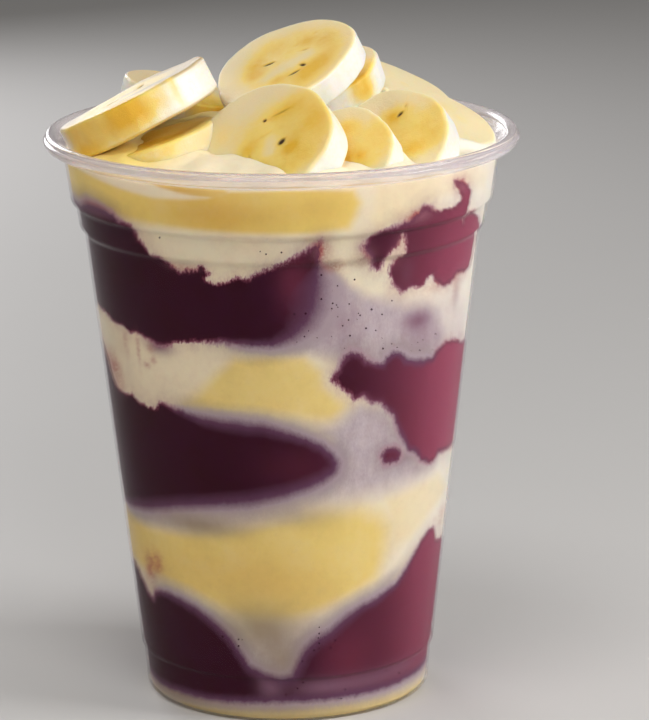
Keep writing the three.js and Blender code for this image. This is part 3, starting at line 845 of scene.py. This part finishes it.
# %% The seeds of each slice
# Seeds: (x, y, length, width, turn in degrees, strength).
SEEDS = {
    "top": [
        (-0.21, 0.09, 0.085, 0.024, -7, 1), (0.26, -0.27, 0.055, 0.032, -40, 1),
        (0.125, -0.395, 0.105, 0.026, 15, 0.8), (0.32, 0.1, 0.08, 0.026, -8, 0.38),
        (0.22, 0.3, 0.05, 0.03, 40, 0.3), (0.5, 0.42, 0.05, 0.03, 20, 0.25),
    ],
    "front": [
        (0.16, 0.35, 0.03, 0.03, 0, 0.9), (0.31, -0.12, 0.06, 0.042, 25, 1),
        (0.38, 0.37, 0.2, 0.035, 3, 0.42), (-0.13, -0.13, 0.12, 0.04, 92, 0.36),
        (0.09, 0.1, 0.14, 0.015, 11, 0.28),
    ],
    "right": [(0.25, 0.44, 0.075, 0.034, 26, 0.85), (0.37, 0.55, 0.06, 0.035, 60, 0.36)],
    "front_right": [(0.34, -0.12, 0.07, 0.05, 20, 0.3)],
    "left_low": [(0.2, -0.8, 0.14, 0.05, 30, 0.3), (-0.1, 0.1, 0.1, 0.03, 10, 0.5)],
    "right_back": [], "right_rim": [],
}
SEED_RING = 0.27
SEED_TURN, SEED_SCATTER, SEED_DRAW = 40, 16, 40


def seeds_of(name, order):
    """The seeds seen on a slice, or for a hidden face one or two in each third of its heart."""
    if name in SEEDS:
        return SEEDS[name]
    draw = np.random.default_rng(SEED_DRAW + order)
    marks = []
    for third in range(3):
        middle = 120 * third + SEED_TURN * order
        for turn in draw.normal(middle, SEED_SCATTER, draw.integers(1, 3)):
            x, y = SEED_RING * math.cos(math.radians(turn)), SEED_RING * math.sin(math.radians(turn))
            marks.append((x, y, draw.uniform(0.05, 0.09), 0.03, turn, draw.uniform(0.5, 1)))
    return marks


print("seeds:", {name: len(seeds_of(name, order)) for order, name in enumerate(SLICES)})


# %% Formulas of the marks
def seed_marks(x, y, marks):
    """Long soft drops: strength * exp(-(along / length)^2 - (across / width)^2), the darkest."""
    total = np.zeros(x.shape)
    for at_x, at_y, length, width, turn, strength in marks:
        cos, sin = math.cos(math.radians(turn)), math.sin(math.radians(turn))
        along = ((x - at_x) * cos + (y - at_y) * sin) / length
        across = ((y - at_y) * cos - (x - at_x) * sin) / width
        total = np.maximum(total, strength * np.exp(-(along**2) - across**2))
    return total


def heart_glow(x, y, heart, pale):
    """1 in the gold zone about the heart, fading at its edge and along the pale core.

    The core is a stretch (x, y, x, y, reach), and counts by the distance to its nearest point.
    """
    from_heart = np.hypot(x - heart[0], y - heart[1]) / heart[2]
    start_x, start_y, end_x, end_y, reach = pale
    along_x, along_y = end_x - start_x, end_y - start_y
    share = (x - start_x) * along_x + (y - start_y) * along_y
    share = np.clip(share / max(along_x**2 + along_y**2, 1e-6), 0, 1)
    from_core = np.hypot(x - start_x - share * along_x, y - start_y - share * along_y) / reach
    zone = 1 - smooth_step(from_heart, 0.6, 1.1)
    return zone * (1 - 0.75 * np.exp(-(from_core**2)))


def patch_glow(x, y, patches):
    """The sum of strength * exp(-(distance / reach)^2) over the patches."""
    total = np.zeros(x.shape)
    for at_x, at_y, reach, strength in patches:
        total += strength * np.exp(-((x - at_x) ** 2 + (y - at_y) ** 2) / reach**2)
    return total


# %% The profile of one slice
FACE_ROWS = 56
EDGE_ROUND = 0.85
EDGE_STEPS, SIDE_STEPS = 8, 9


def slice_profile(radius, half):
    """(radius, height) from the lower face out, round both edges and in along the upper face."""
    flat = (radius - EDGE_ROUND) * np.arange(1, FACE_ROWS + 1) / FACE_ROWS
    quarter = np.radians(np.linspace(0, 90, EDGE_STEPS)[1:])
    bend = EDGE_ROUND * np.stack([np.sin(quarter), np.cos(quarter)], axis=-1)
    lower = np.stack([flat, np.full(flat.shape, -half)], axis=-1)
    lower_bend = np.stack([radius - EDGE_ROUND + bend[:, 0], -half + EDGE_ROUND - bend[:, 1]], axis=-1)
    side = np.linspace(-half + EDGE_ROUND, half - EDGE_ROUND, SIDE_STEPS)[1:-1]
    side = np.stack([np.full(side.shape, radius), side], axis=-1)
    below = np.vstack([lower, lower_bend])
    return np.vstack([below, side, (below * (1, -1))[::-1]])


# %% The shape of one slice
SLICE_SIDES = 180
RIM_WAVES = 0.008
CUT_WAVES, CUT_LENGTHS, CUT_DRAW = 0.16, (9, 26), 60
SEED_PIT = 0.35
RIDGES = 0.05


def slice_shape(name, order):
    """One slice lying level about its middle: its rings, and where they are upper or lower face.

    With a the angle about the slice, its radius is multiplied by
    1 + oval * (cos(2a + order) + cos(3a + 2 order) / 2) and by weaker waves of 5 and 7 turns,
    and RIDGES * cos(17a + 5 cos(2a + order)) is added at the rim. Face is 1 above, -1 below
    and 0 round the rim. The knife's waves and the pits of the seeds cut into the faces.
    """
    _, radius, thick, _, _, oval = SLICES[name]
    profile = slice_profile(radius, thick / 2)
    around = 2 * np.pi * np.arange(SLICE_SIDES) / SLICE_SIDES
    uneven = 1 + oval * (np.cos(2 * around + order) + 0.5 * np.cos(3 * around + 2 * order))
    uneven += RIM_WAVES * (np.cos(5 * around + 1.7 * order) + np.cos(7 * around + 2.9 * order) - 2)
    share = profile[:, :1] / radius
    ridge = RIDGES * np.cos(17 * around + 5 * np.cos(2 * around + order)) * smooth_step(share, 0.9, 1)
    across = profile[:, :1] * uneven + ridge
    x, y = across * np.cos(around), across * np.sin(around)
    face = np.sign(profile[:, 1:]) * smooth_step(np.abs(profile[:, 1:]) / (thick / 2), 0.7, 1)
    marks = seed_marks(x / radius, y / radius, seeds_of(name, order))
    height = profile[:, 1:] + CUT_WAVES * (waves(x, y, CUT_DRAW + order, CUT_LENGTHS) - 1) * face
    height = height - SEED_PIT * marks * face
    return np.stack([x, y, height], axis=-1), np.broadcast_to(face, x.shape)


# %% The values kept on a slice
# Each slice reads the noise of its finish this many radii away from the slice before it.
NOISE_SPACING = 3


def keep_slice_values(piece, name, order, flat, facing):
    """Keeps how ripe, dull, seeded and cut each point is, and its place for the noise.

    Flat holds the points of the level slice, and facing is 1 on its faces and 0 on its rim.
    Patches weaken towards the lower edge, and the painted shade low on the rim towards the upper
    edge. On slices that little light reaches, the ripe and dull numbers also hold painted shade.
    """
    radius, thick = SLICES[name][1:3]
    spot = (flat[:, 0] / radius, flat[:, 1] / radius)
    up = flat[:, 2] / (thick / 2)
    heart, pale = HEARTS.get(name, PLAIN_HEART), PALE_CORES.get(name, PLAIN_CORE)
    ripe_and_shaded = HEART_RIPENESS * heart_glow(*spot, heart, pale) * facing
    ripe_and_shaded += patch_glow(*spot, PATCHES.get(name, ())) * (0.3 + 0.7 * smooth_step(up, -0.9, 0.2))
    ripe_and_shaded += patch_glow(*spot, UNDERSIDE_SHADE_PATCHES.get(name, ())) * (1 - smooth_step(up, -0.7, 0.1))
    dull_and_shaded = DULL_SHADED_FACES.get(name, 0) * facing + patch_glow(*spot, DULL_SHADE_PATCHES.get(name, ()))
    keep_values(piece, "ripe_and_shaded", ripe_and_shaded)
    keep_values(piece, "dull_and_shaded", dull_and_shaded)
    keep_values(piece, "seed", seed_marks(*spot, seeds_of(name, order)) * facing)
    keep_values(piece, "cut_face", facing)
    place = np.stack([*spot, flat[:, 2] / radius + NOISE_SPACING * order], axis=-1)
    layer = piece.data.attributes.new("slice_place", "FLOAT_VECTOR", "POINT")
    layer.data.foreach_set("vector", place.astype(np.float32).ravel())


# %% The slices' meshes
def banana_slice(name, order):
    """One slice, leaned and in place, with its values kept on its points."""
    at, _, _, tilt, lean, _ = SLICES[name]
    local, face = slice_shape(name, order)
    heights = local[..., 2]
    ends = np.array([(0, 0, heights[0].mean()), (0, 0, heights[-1].mean())])
    turn, place = leaning(tilt, lean), np.array(at)
    piece = closed_skin("banana_" + name, local @ turn.T + place, *(ends @ turn.T + place))
    facing = np.append(np.abs(face).ravel(), (1, 1))
    keep_slice_values(piece, name, order, np.vstack([local.reshape(-1, 3), ends]), facing)
    return piece


slice_pieces = {name: banana_slice(name, order) for order, name in enumerate(SLICES)}
print("slice faces:", sum(len(piece.data.polygons) for piece in slice_pieces.values()))

# %% [markdown]
# ## Building materials
#
# A few small helpers keep the node code short: one adds a node and fills its sockets, and the
# others use it for a sum or product, a blend of colours and a change of range. The noise that
# frays, mottles and grains every finish here is one node group, built once and placed in each
# material with its own scale.

# %% Colours
def srgb(red, green, blue):
    """A colour written as 0 to 255 on screen, as the linear light that shaders use."""
    values = np.array((red, green, blue)) / 255
    linear = np.where(values <= 0.04045, values / 12.92, ((values + 0.055) / 1.055) ** 2.4)
    return (*linear.tolist(), 1.0)


# %% Node helpers
def add(tree, kind, inputs=(), **options):
    """Adds a node, sets its options, and links or sets the given inputs."""
    made = tree.nodes.new(kind)
    for option, value in options.items():
        setattr(made, option, value)
    for key, value in dict(inputs).items():
        if isinstance(value, bpy.types.NodeSocket):
            tree.links.new(value, made.inputs[key])
        else:
            made.inputs[key].default_value = value
    return made


def calc(tree, operation, first, second=0.0, clamp=False):
    """One step of arithmetic on values."""
    node = add(tree, "ShaderNodeMath", {0: first, 1: second}, operation=operation, use_clamp=clamp)
    return node.outputs[0]


def blend(tree, share, first, second):
    """A colour that goes from first to second as share goes from 0 to 1."""
    node = add(tree, "ShaderNodeMix", {"Factor": share, "A": first, "B": second}, data_type="RGBA")
    return node.outputs["Result"]


def ranged(tree, value, low, high, to_low=0.0, to_high=1.0):
    """Value carried from the range low to high into the range to_low to to_high, and held there."""
    node = add(tree, "ShaderNodeMapRange", {
        "Value": value, "From Min": low, "From Max": high, "To Min": to_low, "To Max": to_high,
    })
    return node.outputs[0]


def value_of(tree, name):
    """A number kept on the mesh's points."""
    return add(tree, "ShaderNodeAttribute", attribute_name=name).outputs["Fac"]


def new_material(name):
    """An empty material, its node tree and its output."""
    material = bpy.data.materials.new(name)
    material.use_nodes = True
    material.node_tree.nodes.clear()
    output = material.node_tree.nodes.new("ShaderNodeOutputMaterial")
    return material, material.node_tree, output


# %% A new node group
def new_group(name, inputs, outputs):
    """An empty node group with sockets from {name: kind}, and its input and output nodes."""
    group = bpy.data.node_groups.new(name, "ShaderNodeTree")
    for way, sockets in (("INPUT", inputs), ("OUTPUT", outputs)):
        for socket, kind in sockets.items():
            group.interface.new_socket(socket, in_out=way, socket_type="NodeSocket" + kind)
    return group, group.nodes.new("NodeGroupInput"), group.nodes.new("NodeGroupOutput")


# %% The mottle group
def mottle_group():
    """Noise of about -1 to 1 at two sizes, a broad one and one five times finer, in chosen shares."""
    inputs = {"Vector": "Vector", "Scale": "Float", "Fine Share": "Float"}
    group, given, result = new_group("Mottle", inputs, {"Value": "Float"})
    broad = add(group, "ShaderNodeTexNoise", {
        "Vector": given.outputs["Vector"], "Scale": given.outputs["Scale"], "Detail": 3.0,
    })
    fine_scale = calc(group, "MULTIPLY", given.outputs["Scale"], 5.0)
    fine = add(group, "ShaderNodeTexNoise", {
        "Vector": given.outputs["Vector"], "Scale": fine_scale, "Detail": 2.0,
    })
    mixed = add(group, "ShaderNodeMix", {
        "Factor": given.outputs["Fine Share"], "A": broad.outputs[0], "B": fine.outputs[0],
    }, data_type="FLOAT")
    centred = calc(group, "SUBTRACT", mixed.outputs["Result"], 0.5)
    group.links.new(calc(group, "MULTIPLY", centred, 4.0), result.inputs["Value"])
    return group


MOTTLE = mottle_group()
print("nodes in the mottle group:", len(MOTTLE.nodes))


def mottle(tree, vector, size, fine_share):
    """The mottle group placed in a material, with its broad spots about size mm wide."""
    inputs = {"Vector": vector, "Scale": 1 / (size * MM), "Fine Share": fine_share}
    return add(tree, "ShaderNodeGroup", inputs, node_tree=MOTTLE).outputs["Value"]


def object_place(tree):
    """Where a point lies on the part, in metres."""
    return add(tree, "ShaderNodeTexCoord").outputs["Object"]


# %% [markdown]
# ## Clear plastic
#
# The cup is thin polished plastic. Its wall is almost invisible, but light gathers in the thick
# rolled lip and turns it milky and faintly lilac, so the lip's faces get a second material with
# less transmission. Glass in Cycles keeps direct lamplight from what is behind it, so rays that
# only ask whether a lamp is in view meet a Transparent shader instead, and the food is lit as it
# is through real thin plastic.

# %% Plastic material
PLASTIC_TINTS = srgb(246, 243, 248), srgb(243, 240, 246)
PLASTIC_SHADE = srgb(246, 245, 247)
PLASTIC_MIRROR = (0.08, 0.08, 0.09, 1.0)
PLASTIC_ROUGHNESS = (0.02, 0.06)
WALL_STRAIGHT = 0.6
LIP_TINTS = srgb(246, 240, 240), srgb(240, 233, 238)
LIP_MIRROR = (0.55, 0.55, 0.58, 1.0)
LIP_ROUGHNESS = (0.13, 0.2)
LIP_CLEARNESS = 0.83
LIP_FROM = COLLAR_HIGH + 1


def plastic_material(name, tints, roughness, clearness, mirror, straight):
    """Plastic that lets lamplight through, faintly clouded in tint and in polish.

    The share called straight passes without a mirror image, so that the wall shines less.
    """
    material, tree, output = new_material(name)
    cloud = mottle(tree, object_place(tree), 24, 0.2)
    plastic = add(tree, "ShaderNodeBsdfPrincipled", {
        "Base Color": blend(tree, ranged(tree, cloud, -1.0, 1.0), *tints),
        "Roughness": ranged(tree, cloud, -1.0, 1.0, *roughness), "IOR": 1.45,
        "Transmission Weight": clearness, "Specular Tint": mirror,
    })
    passing = add(tree, "ShaderNodeBsdfTransparent", {"Color": PLASTIC_SHADE})
    path = add(tree, "ShaderNodeLightPath")
    mixed = add(tree, "ShaderNodeMixShader", {
        0: calc(tree, "MAXIMUM", path.outputs["Is Shadow Ray"], straight),
        1: plastic.outputs[0], 2: passing.outputs[0],
    })
    tree.links.new(mixed.outputs[0], output.inputs["Surface"])
    return material


# %% The cup's finish
clear = plastic_material(
    "clear_plastic", PLASTIC_TINTS, PLASTIC_ROUGHNESS, 1.0, PLASTIC_MIRROR, WALL_STRAIGHT
)
dress(cup_piece, "cup", clear)
milky = plastic_material("milky_lip", LIP_TINTS, LIP_ROUGHNESS, LIP_CLEARNESS, LIP_MIRROR, 0.0)
cup_piece.data.materials.append(milky)
face_middles = np.empty(len(cup_piece.data.polygons) * 3, np.float32)
cup_piece.data.polygons.foreach_get("center", face_middles)
in_lip = face_middles[2::3] / MM > LIP_FROM
cup_piece.data.polygons.foreach_set("material_index", in_lip.astype(np.int32))
print("faces of the milky lip:", in_lip.sum())

# %% [markdown]
# ## Acai and cream
#
# Both fillings share one group, because on the wall they run into each other. It takes the
# distance kept on the points, frays it with noise, and divides it by the softness. That number
# picks the colour: cream, then grey lilac where the two are mixed, then violet, then dark acai.
# Light adds up otherwise than the eye sees it, so one blend from pale to dark would look pale
# almost up to its dark end, and the violet step in the middle makes the fade look even. The
# cream itself has gold and lilac parts, smaller places of mauve, smoke and rose, a haze along
# the blurred edges of the acai and pink smears along the torn ones. On the right, acai and cream
# are painted paler where the main lamp falls, and the smoke is partly painted shade.

# %% Colours of the fillings
CREAM = srgb(243, 231, 199)
CREAM_PEACH = srgb(240, 223, 190)
# Painted light: the paler cream where the lamp on the right falls on it.
CREAM_PALE_LIT = srgb(247, 241, 226)
GOLD = srgb(241, 213, 114)
GOLD_DEEP = srgb(224, 180, 74)
LILAC = srgb(208, 196, 197)
LILAC_GREY = srgb(182, 164, 168)
MAUVE = srgb(138, 100, 118)
# Grey beige of acai seen through thin cream, partly painted shade.
SMOKE_SHADE = srgb(160, 142, 116)
HAZE = srgb(140, 122, 118)
PINK = srgb(176, 122, 132)
VIOLET = srgb(108, 70, 95)
WINE = srgb(118, 54, 72)
ROSE = srgb(184, 104, 92)
ACAI = srgb(58, 16, 28)
ACAI_VIOLET = srgb(62, 20, 42)
# Painted light and frost: the paler pink of the acai on the lit right side.
ACAI_ICY_LIT = srgb(168, 78, 103)
SPECK = srgb(58, 24, 40)


# %% Masks for the marbling
SPECK_SPACING = 1.1
SPECK_SHARE = 0.7


def stirred(tree, value, noise, amount):
    """A share kept on the points, with noise times amount added to it, held between 0 and 1."""
    return calc(tree, "ADD", value, calc(tree, "MULTIPLY", noise, amount), clamp=True)


def speck_mask(tree, place, share):
    """Dark dots up to 0.5 mm wide in some cells of a Voronoi pattern, more where share is high."""
    cells = add(tree, "ShaderNodeTexVoronoi", {"Vector": place, "Scale": 1 / (SPECK_SPACING * MM)})
    parts = add(tree, "ShaderNodeSeparateColor", {"Color": cells.outputs["Color"]})
    size = ranged(tree, parts.outputs[0], 0.0, 1.0, 0.04, 0.22)
    dot = calc(tree, "LESS_THAN", cells.outputs["Distance"], size)
    chosen = calc(tree, "LESS_THAN", parts.outputs[1], calc(tree, "MULTIPLY", share, SPECK_SHARE))
    return calc(tree, "MULTIPLY", dot, chosen)


def drawn_out(tree, place):
    """Places squeezed upwards by half, so that noise on them is drawn out into upright streaks."""
    node = add(tree, "ShaderNodeVectorMath", {0: place, 1: (1.0, 1.0, 0.5)}, operation="MULTIPLY")
    return node.outputs[0]


# %% Colours of the two sides of an edge
def pale_side(tree, place, frayed, sharp):
    """The colour of the cream: ivory, then each tint by its kept share, haze and smears last."""
    broad, fine = mottle(tree, place, 9, 0.25), mottle(tree, place, 2.4, 0.5)
    streaks = mottle(tree, drawn_out(tree, place), 1.8, 0.4)
    cream = blend(tree, ranged(tree, broad, -0.5, 0.7), CREAM, CREAM_PEACH)
    # Painted light: the cream is paler on the right, where the main lamp falls.
    cream = blend(tree, value_of(tree, "icy_and_lit"), cream, CREAM_PALE_LIT)
    gold = calc(tree, "MULTIPLY", value_of(tree, "gold"), ranged(tree, broad, -1.0, 0.6, 0.8, 1.0))
    cream = blend(tree, gold, cream, blend(tree, value_of(tree, "deep_gold"), GOLD, GOLD_DEEP))
    lilac = blend(tree, ranged(tree, streaks, -0.9, 0.9), LILAC, LILAC_GREY)
    cream = blend(tree, stirred(tree, value_of(tree, "lilac"), broad, 0.1), cream, lilac)
    cream = blend(tree, stirred(tree, value_of(tree, "mauve"), fine, 0.06), cream, MAUVE)
    # Smoke: acai seen through thin cream, and partly painted shade low on the left and at the foot.
    cream = blend(tree, stirred(tree, value_of(tree, "smoke_and_shade"), broad, 0.06), cream, SMOKE_SHADE)
    rose = calc(tree, "MULTIPLY", value_of(tree, "rose"), ranged(tree, fine, -0.8, 0.4))
    cream = blend(tree, rose, cream, ROSE)
    blurred = calc(tree, "MULTIPLY", ranged(tree, frayed, -4.5, 0.0), calc(tree, "SUBTRACT", 1.0, sharp))
    cream = blend(tree, calc(tree, "MULTIPLY", blurred, 0.7), cream, HAZE)
    near = calc(tree, "MULTIPLY", ranged(tree, frayed, -2.6, 0.0), sharp)
    smear = calc(tree, "MULTIPLY", near, ranged(tree, streaks, -0.6, 0.8), clamp=True)
    return blend(tree, calc(tree, "MULTIPLY", smear, 0.6), cream, PINK)


def dark_side(tree, place):
    """The colour of the acai: dark red violet, paler at the right (frost and painted light), rose or mauve
    where thin.
    """
    tone = blend(tree, ranged(tree, mottle(tree, place, 11, 0.3), -0.7, 0.7), ACAI, ACAI_VIOLET)
    # Painted light: the acai is paler and pinker on the right, where the main lamp falls; its grain there
    # is frost.
    icy_and_lit = value_of(tree, "icy_and_lit")
    grain = calc(tree, "MULTIPLY", mottle(tree, place, 0.5, 0.8), icy_and_lit)
    tone = blend(tree, stirred(tree, icy_and_lit, grain, 0.6), tone, ACAI_ICY_LIT)
    tone = blend(tree, calc(tree, "MULTIPLY", value_of(tree, "rose"), 0.5), tone, PINK)
    melted = calc(tree, "MULTIPLY", value_of(tree, "melted"), ranged(tree, grain, -1.0, 0.4, 0.7, 1.0))
    return blend(tree, melted, tone, MAUVE)


# %% The marbling group
def marbling_group():
    """Puts out the colour of the marbled fillings and how much of each point is acai.

    The kept depth is torn by streaks of noise, most where the edge is sharp, and sprayed by fine
    noise, most where it is soft. The share of acai grows from 0 to 1 as the depth goes from minus
    the softness to plus it, and the colour goes with it from cream by the mixed edge to acai.
    """
    outputs = {"Color": "Color", "Acai": "Float"}
    group, given, result = new_group("Marbling", {"Vector": "Vector"}, outputs)
    place = given.outputs["Vector"]
    softness = value_of(group, "softness")
    sharp = ranged(group, softness, 0.5, 1.8, 1.0, 0.0)
    tearing = ranged(group, softness, 0.5, 2.5, 0.9, 0.3)
    torn = calc(group, "MULTIPLY", mottle(group, drawn_out(group, place), 2.1, 0.5), tearing)
    drift = calc(group, "MULTIPLY", softness, 0.07)
    spray = calc(group, "MULTIPLY", mottle(group, place, 0.5, 0.6), drift)
    frayed = calc(group, "ADD", calc(group, "ADD", value_of(group, "acai_depth"), torn), spray)
    share = ranged(group, calc(group, "DIVIDE", frayed, softness), -1.0, 1.0)
    cream = pale_side(group, place, frayed, sharp)
    edge = blend(group, sharp, LILAC_GREY, PINK)
    # Smoke at the edge too: acai seen through thin cream, and partly painted shade.
    edge = blend(group, value_of(group, "smoke_and_shade"), edge, SMOKE_SHADE)
    edge = blend(group, value_of(group, "rose"), edge, ROSE)
    colour = blend(group, ranged(group, share, 0.0, 0.34), cream, edge)
    colour = blend(group, ranged(group, share, 0.3, 0.6), colour, blend(group, sharp, VIOLET, WINE))
    colour = blend(group, ranged(group, share, 0.56, 1.0), colour, dark_side(group, place))
    colour = blend(group, speck_mask(group, place, value_of(group, "specks")), colour, SPECK)
    group.links.new(colour, result.inputs["Color"])
    group.links.new(share, result.inputs["Acai"])
    return group


MARBLING = marbling_group()
print("nodes in the marbling group:", len(MARBLING.nodes))


# %% Materials of the fillings
CREAM_ROUGHNESS, ACAI_ROUGHNESS = 0.4, 0.5


def filling_material(name):
    """Acai or cream: soft, a little translucent, and glossier where it is cream."""
    material, tree, output = new_material(name)
    marbled = add(tree, "ShaderNodeGroup", {"Vector": object_place(tree)}, node_tree=MARBLING)
    rough = ranged(tree, marbled.outputs["Acai"], 0.0, 1.0, CREAM_ROUGHNESS, ACAI_ROUGHNESS)
    body = add(tree, "ShaderNodeBsdfPrincipled", {
        "Base Color": marbled.outputs["Color"], "Roughness": rough,
        "Specular IOR Level": 0.08, "Subsurface Weight": 0.35,
        "Subsurface Radius": (1.0, 0.6, 0.35), "Subsurface Scale": 0.0015,
    })
    tree.links.new(body.outputs[0], output.inputs["Surface"])
    return material


# %% The fillings' finishes
finishes = {slot: filling_material(slot) for slot in ("acai", "cream")}
for name, piece in filling_pieces.items():
    slot = name.split("_")[0]
    dress(piece, name, finishes[slot])
print("fillings dressed:", len(filling_pieces))

# %% [markdown]
# ## Banana
#
# Cut banana is moist and translucent: light goes a little way in and comes out warmer, which is
# what a subsurface shader does. The side of a slice is almost white. Its face is ivory at the
# rim and gold about the heart, deeper in a few patches where the seeds lie, and the seeds are
# brown. How ripe each point is was kept on the mesh as one number, 0 in plain flesh, about 0.8
# in the gold and more in the patches. The same number holds painted shade: the slices at the
# left that little light reaches are painted deep gold, and a second number paints the faces of
# the slices at the left and back duller, partly as browning.

# %% Banana material
FLESH_SIDE = srgb(252, 249, 240)
FLESH_FACE = srgb(240, 222, 178)
# Painted shade, partly browning: the dull face of slices that little light reaches.
FLESH_DULL_SHADE = srgb(194, 168, 124)
FLESH_GOLD = srgb(247, 216, 120)
FLESH_DEEP = srgb(238, 190, 58)
SEED_BROWN = srgb(66, 40, 14)


def banana_material():
    """Moist banana flesh with a gold heart, fine streaks, brown seeds and painted shade."""
    material, tree, output = new_material("banana_flesh")
    place = object_place(tree)
    within = add(tree, "ShaderNodeAttribute", attribute_name="slice_place").outputs["Vector"]
    soft = add(tree, "ShaderNodeTexNoise", {"Vector": within, "Scale": 3.2, "Detail": 3.0}).outputs[0]
    streaks = add(tree, "ShaderNodeTexNoise", {"Vector": within, "Scale": 14.0, "Detail": 4.0}).outputs[0]
    # Ripeness and painted shade: deep gold on the slices at the left stands for shade.
    ripe_and_shaded = calc(tree, "MULTIPLY", value_of(tree, "ripe_and_shaded"), ranged(tree, soft, 0.3, 0.7, 0.8, 1.2))
    ripe_and_shaded = calc(tree, "ADD", ripe_and_shaded, ranged(tree, streaks, 0.3, 0.7, -0.06, 0.06))
    flesh = blend(tree, value_of(tree, "cut_face"), FLESH_SIDE, FLESH_FACE)
    # Painted shade, partly browning: duller faces on the slices at the left and at the back.
    flesh = blend(tree, value_of(tree, "dull_and_shaded"), flesh, FLESH_DULL_SHADE)
    flesh = blend(tree, ranged(tree, ripe_and_shaded, 0.0, 0.8), flesh, FLESH_GOLD)
    flesh = blend(tree, ranged(tree, ripe_and_shaded, 0.85, 1.7), flesh, FLESH_DEEP)
    seed = value_of(tree, "seed")
    flesh = blend(tree, ranged(tree, seed, 0.02, 0.4, 0.0, 0.6), flesh, FLESH_DEEP)
    flesh = blend(tree, ranged(tree, seed, 0.25, 0.75), flesh, SEED_BROWN)
    relief = add(tree, "ShaderNodeBump", {
        "Strength": 0.25, "Distance": 0.0003, "Height": mottle(tree, place, 1.2, 0.5),
    })
    body = add(tree, "ShaderNodeBsdfPrincipled", {
        "Base Color": flesh, "Roughness": ranged(tree, streaks, 0.0, 1.0, 0.3, 0.5),
        "Normal": relief.outputs[0], "Specular IOR Level": 0.45, "Subsurface Weight": 0.6,
        "Subsurface Radius": (1.0, 0.62, 0.3), "Subsurface Scale": 0.003,
    })
    tree.links.new(body.outputs[0], output.inputs["Surface"])
    return material


# %% The slices' finish
banana = banana_material()
for name, piece in slice_pieces.items():
    dress(piece, "slice_" + name, banana)
print("materials:", ", ".join(sorted(material.name for material in bpy.data.materials)))

# %% [markdown]
# ## Floor, light and camera
#
# The floor is one pale sheet. The strongest soft lamp stands on the right and a second one in
# front, so that the light falls off to the left across the cup. A third hangs over the slices,
# and weak ones fill in from the left and from behind. The camera has a long lens and looks down
# at the cup by fourteen degrees.

# %% Floor
FLOOR_SIDE = 8.0
FLOOR_COLOURS = srgb(196, 194, 192), srgb(206, 204, 202)


def floor_piece():
    """A square sheet on the level where the cup stands."""
    half = FLOOR_SIDE / 2
    mesh = bpy.data.meshes.new("floor")
    corners = [(-half, -half, 0), (half, -half, 0), (half, half, 0), (-half, half, 0)]
    mesh.from_pydata(corners, [], [(0, 1, 2, 3)])
    piece = bpy.data.objects.new("floor", mesh)
    bpy.context.scene.collection.objects.link(piece)
    material, tree, output = new_material("pale_floor")
    tone = calc(tree, "MULTIPLY", mottle(tree, object_place(tree), 90, 0.3), 0.05)
    body = add(tree, "ShaderNodeBsdfPrincipled", {
        "Base Color": blend(tree, calc(tree, "ADD", tone, 0.5), *FLOOR_COLOURS),
        "Roughness": 0.55, "Specular IOR Level": 0.3,
    })
    tree.links.new(body.outputs[0], output.inputs["Surface"])
    mesh.materials.append(material)
    return piece


floor_piece()
print("floor:", FLOOR_SIDE, "m wide")


# %% Lamps
def soft_lamp(name, at, power, width, tint, aim=(0, 0, 0.07), height=None):
    """A square or oblong lamp that faces a point on the cup. Lengths are in metres, power in watts."""
    data = bpy.data.lights.new(name, "AREA")
    data.energy, data.color, data.shape = power, tint, "RECTANGLE"
    data.size, data.size_y = width, height or width
    lamp = bpy.data.objects.new(name, data)
    lamp.location = at
    lamp.rotation_euler = (Vector(aim) - Vector(at)).to_track_quat("-Z", "Y").to_euler()
    bpy.context.scene.collection.objects.link(lamp)
    return lamp


soft_lamp("window_right", (0.62, -0.18, 0.5), 4.1, 0.35, (1.0, 1.0, 1.0))
soft_lamp("window_front", (0.25, -0.69, 0.45), 1.5, 0.4, (1.0, 0.99, 0.97))
soft_lamp("front_above", (-0.15, -0.35, 1.0), 3.2, 0.4, (1.0, 0.99, 0.97), (0, 0, 0.12))
soft_lamp("fill_left", (-0.7, -0.4, 0.2), 1.2, 1.0, (1.0, 0.96, 0.9), height=0.14)
soft_lamp("back_light", (-0.3, 0.7, 0.3), 1.8, 0.3, (0.98, 0.98, 1.0))
print("lamps:", {lamp.name: round(lamp.energy, 1) for lamp in bpy.data.lights})

# %% Surroundings
WORLD_COLOUR, WORLD_STRENGTH = (0.84, 0.81, 0.78, 1), 0.14
world = bpy.data.worlds.new("studio")
world.use_nodes = True
background = world.node_tree.nodes["Background"]
background.inputs["Color"].default_value = WORLD_COLOUR
background.inputs["Strength"].default_value = WORLD_STRENGTH
bpy.context.scene.world = world
bpy.context.scene.view_settings.view_transform = "Standard"
print("surroundings:", world.name, "at strength", WORLD_STRENGTH)

# %% Camera
CAMERA_AT = (0.0, -0.860, 0.283)
PITCH, YAW, ROLL = math.radians(13.94), math.radians(0.56), math.radians(-0.56)
LENS = 212.5

forward = Vector((math.sin(YAW) * math.cos(PITCH), math.cos(YAW) * math.cos(PITCH), -math.sin(PITCH)))
right = Vector((math.cos(YAW), -math.sin(YAW), 0))
up = right.cross(forward)
tipped_right = math.cos(ROLL) * right + math.sin(ROLL) * up
tipped_up = math.cos(ROLL) * up - math.sin(ROLL) * right
camera_data = bpy.data.cameras.new("camera")
camera_data.sensor_width = 36
camera_data.lens = LENS
camera = bpy.data.objects.new("camera", camera_data)
camera.matrix_world = Matrix((
    (tipped_right.x, tipped_up.x, -forward.x, CAMERA_AT[0]),
    (tipped_right.y, tipped_up.y, -forward.y, CAMERA_AT[1]),
    (tipped_right.z, tipped_up.z, -forward.z, CAMERA_AT[2]),
    (0, 0, 0, 1),
))
bpy.context.scene.collection.objects.link(camera)
bpy.context.scene.camera = camera
print("camera's distance from the axis in mm:", round(-CAMERA_AT[1] / MM))
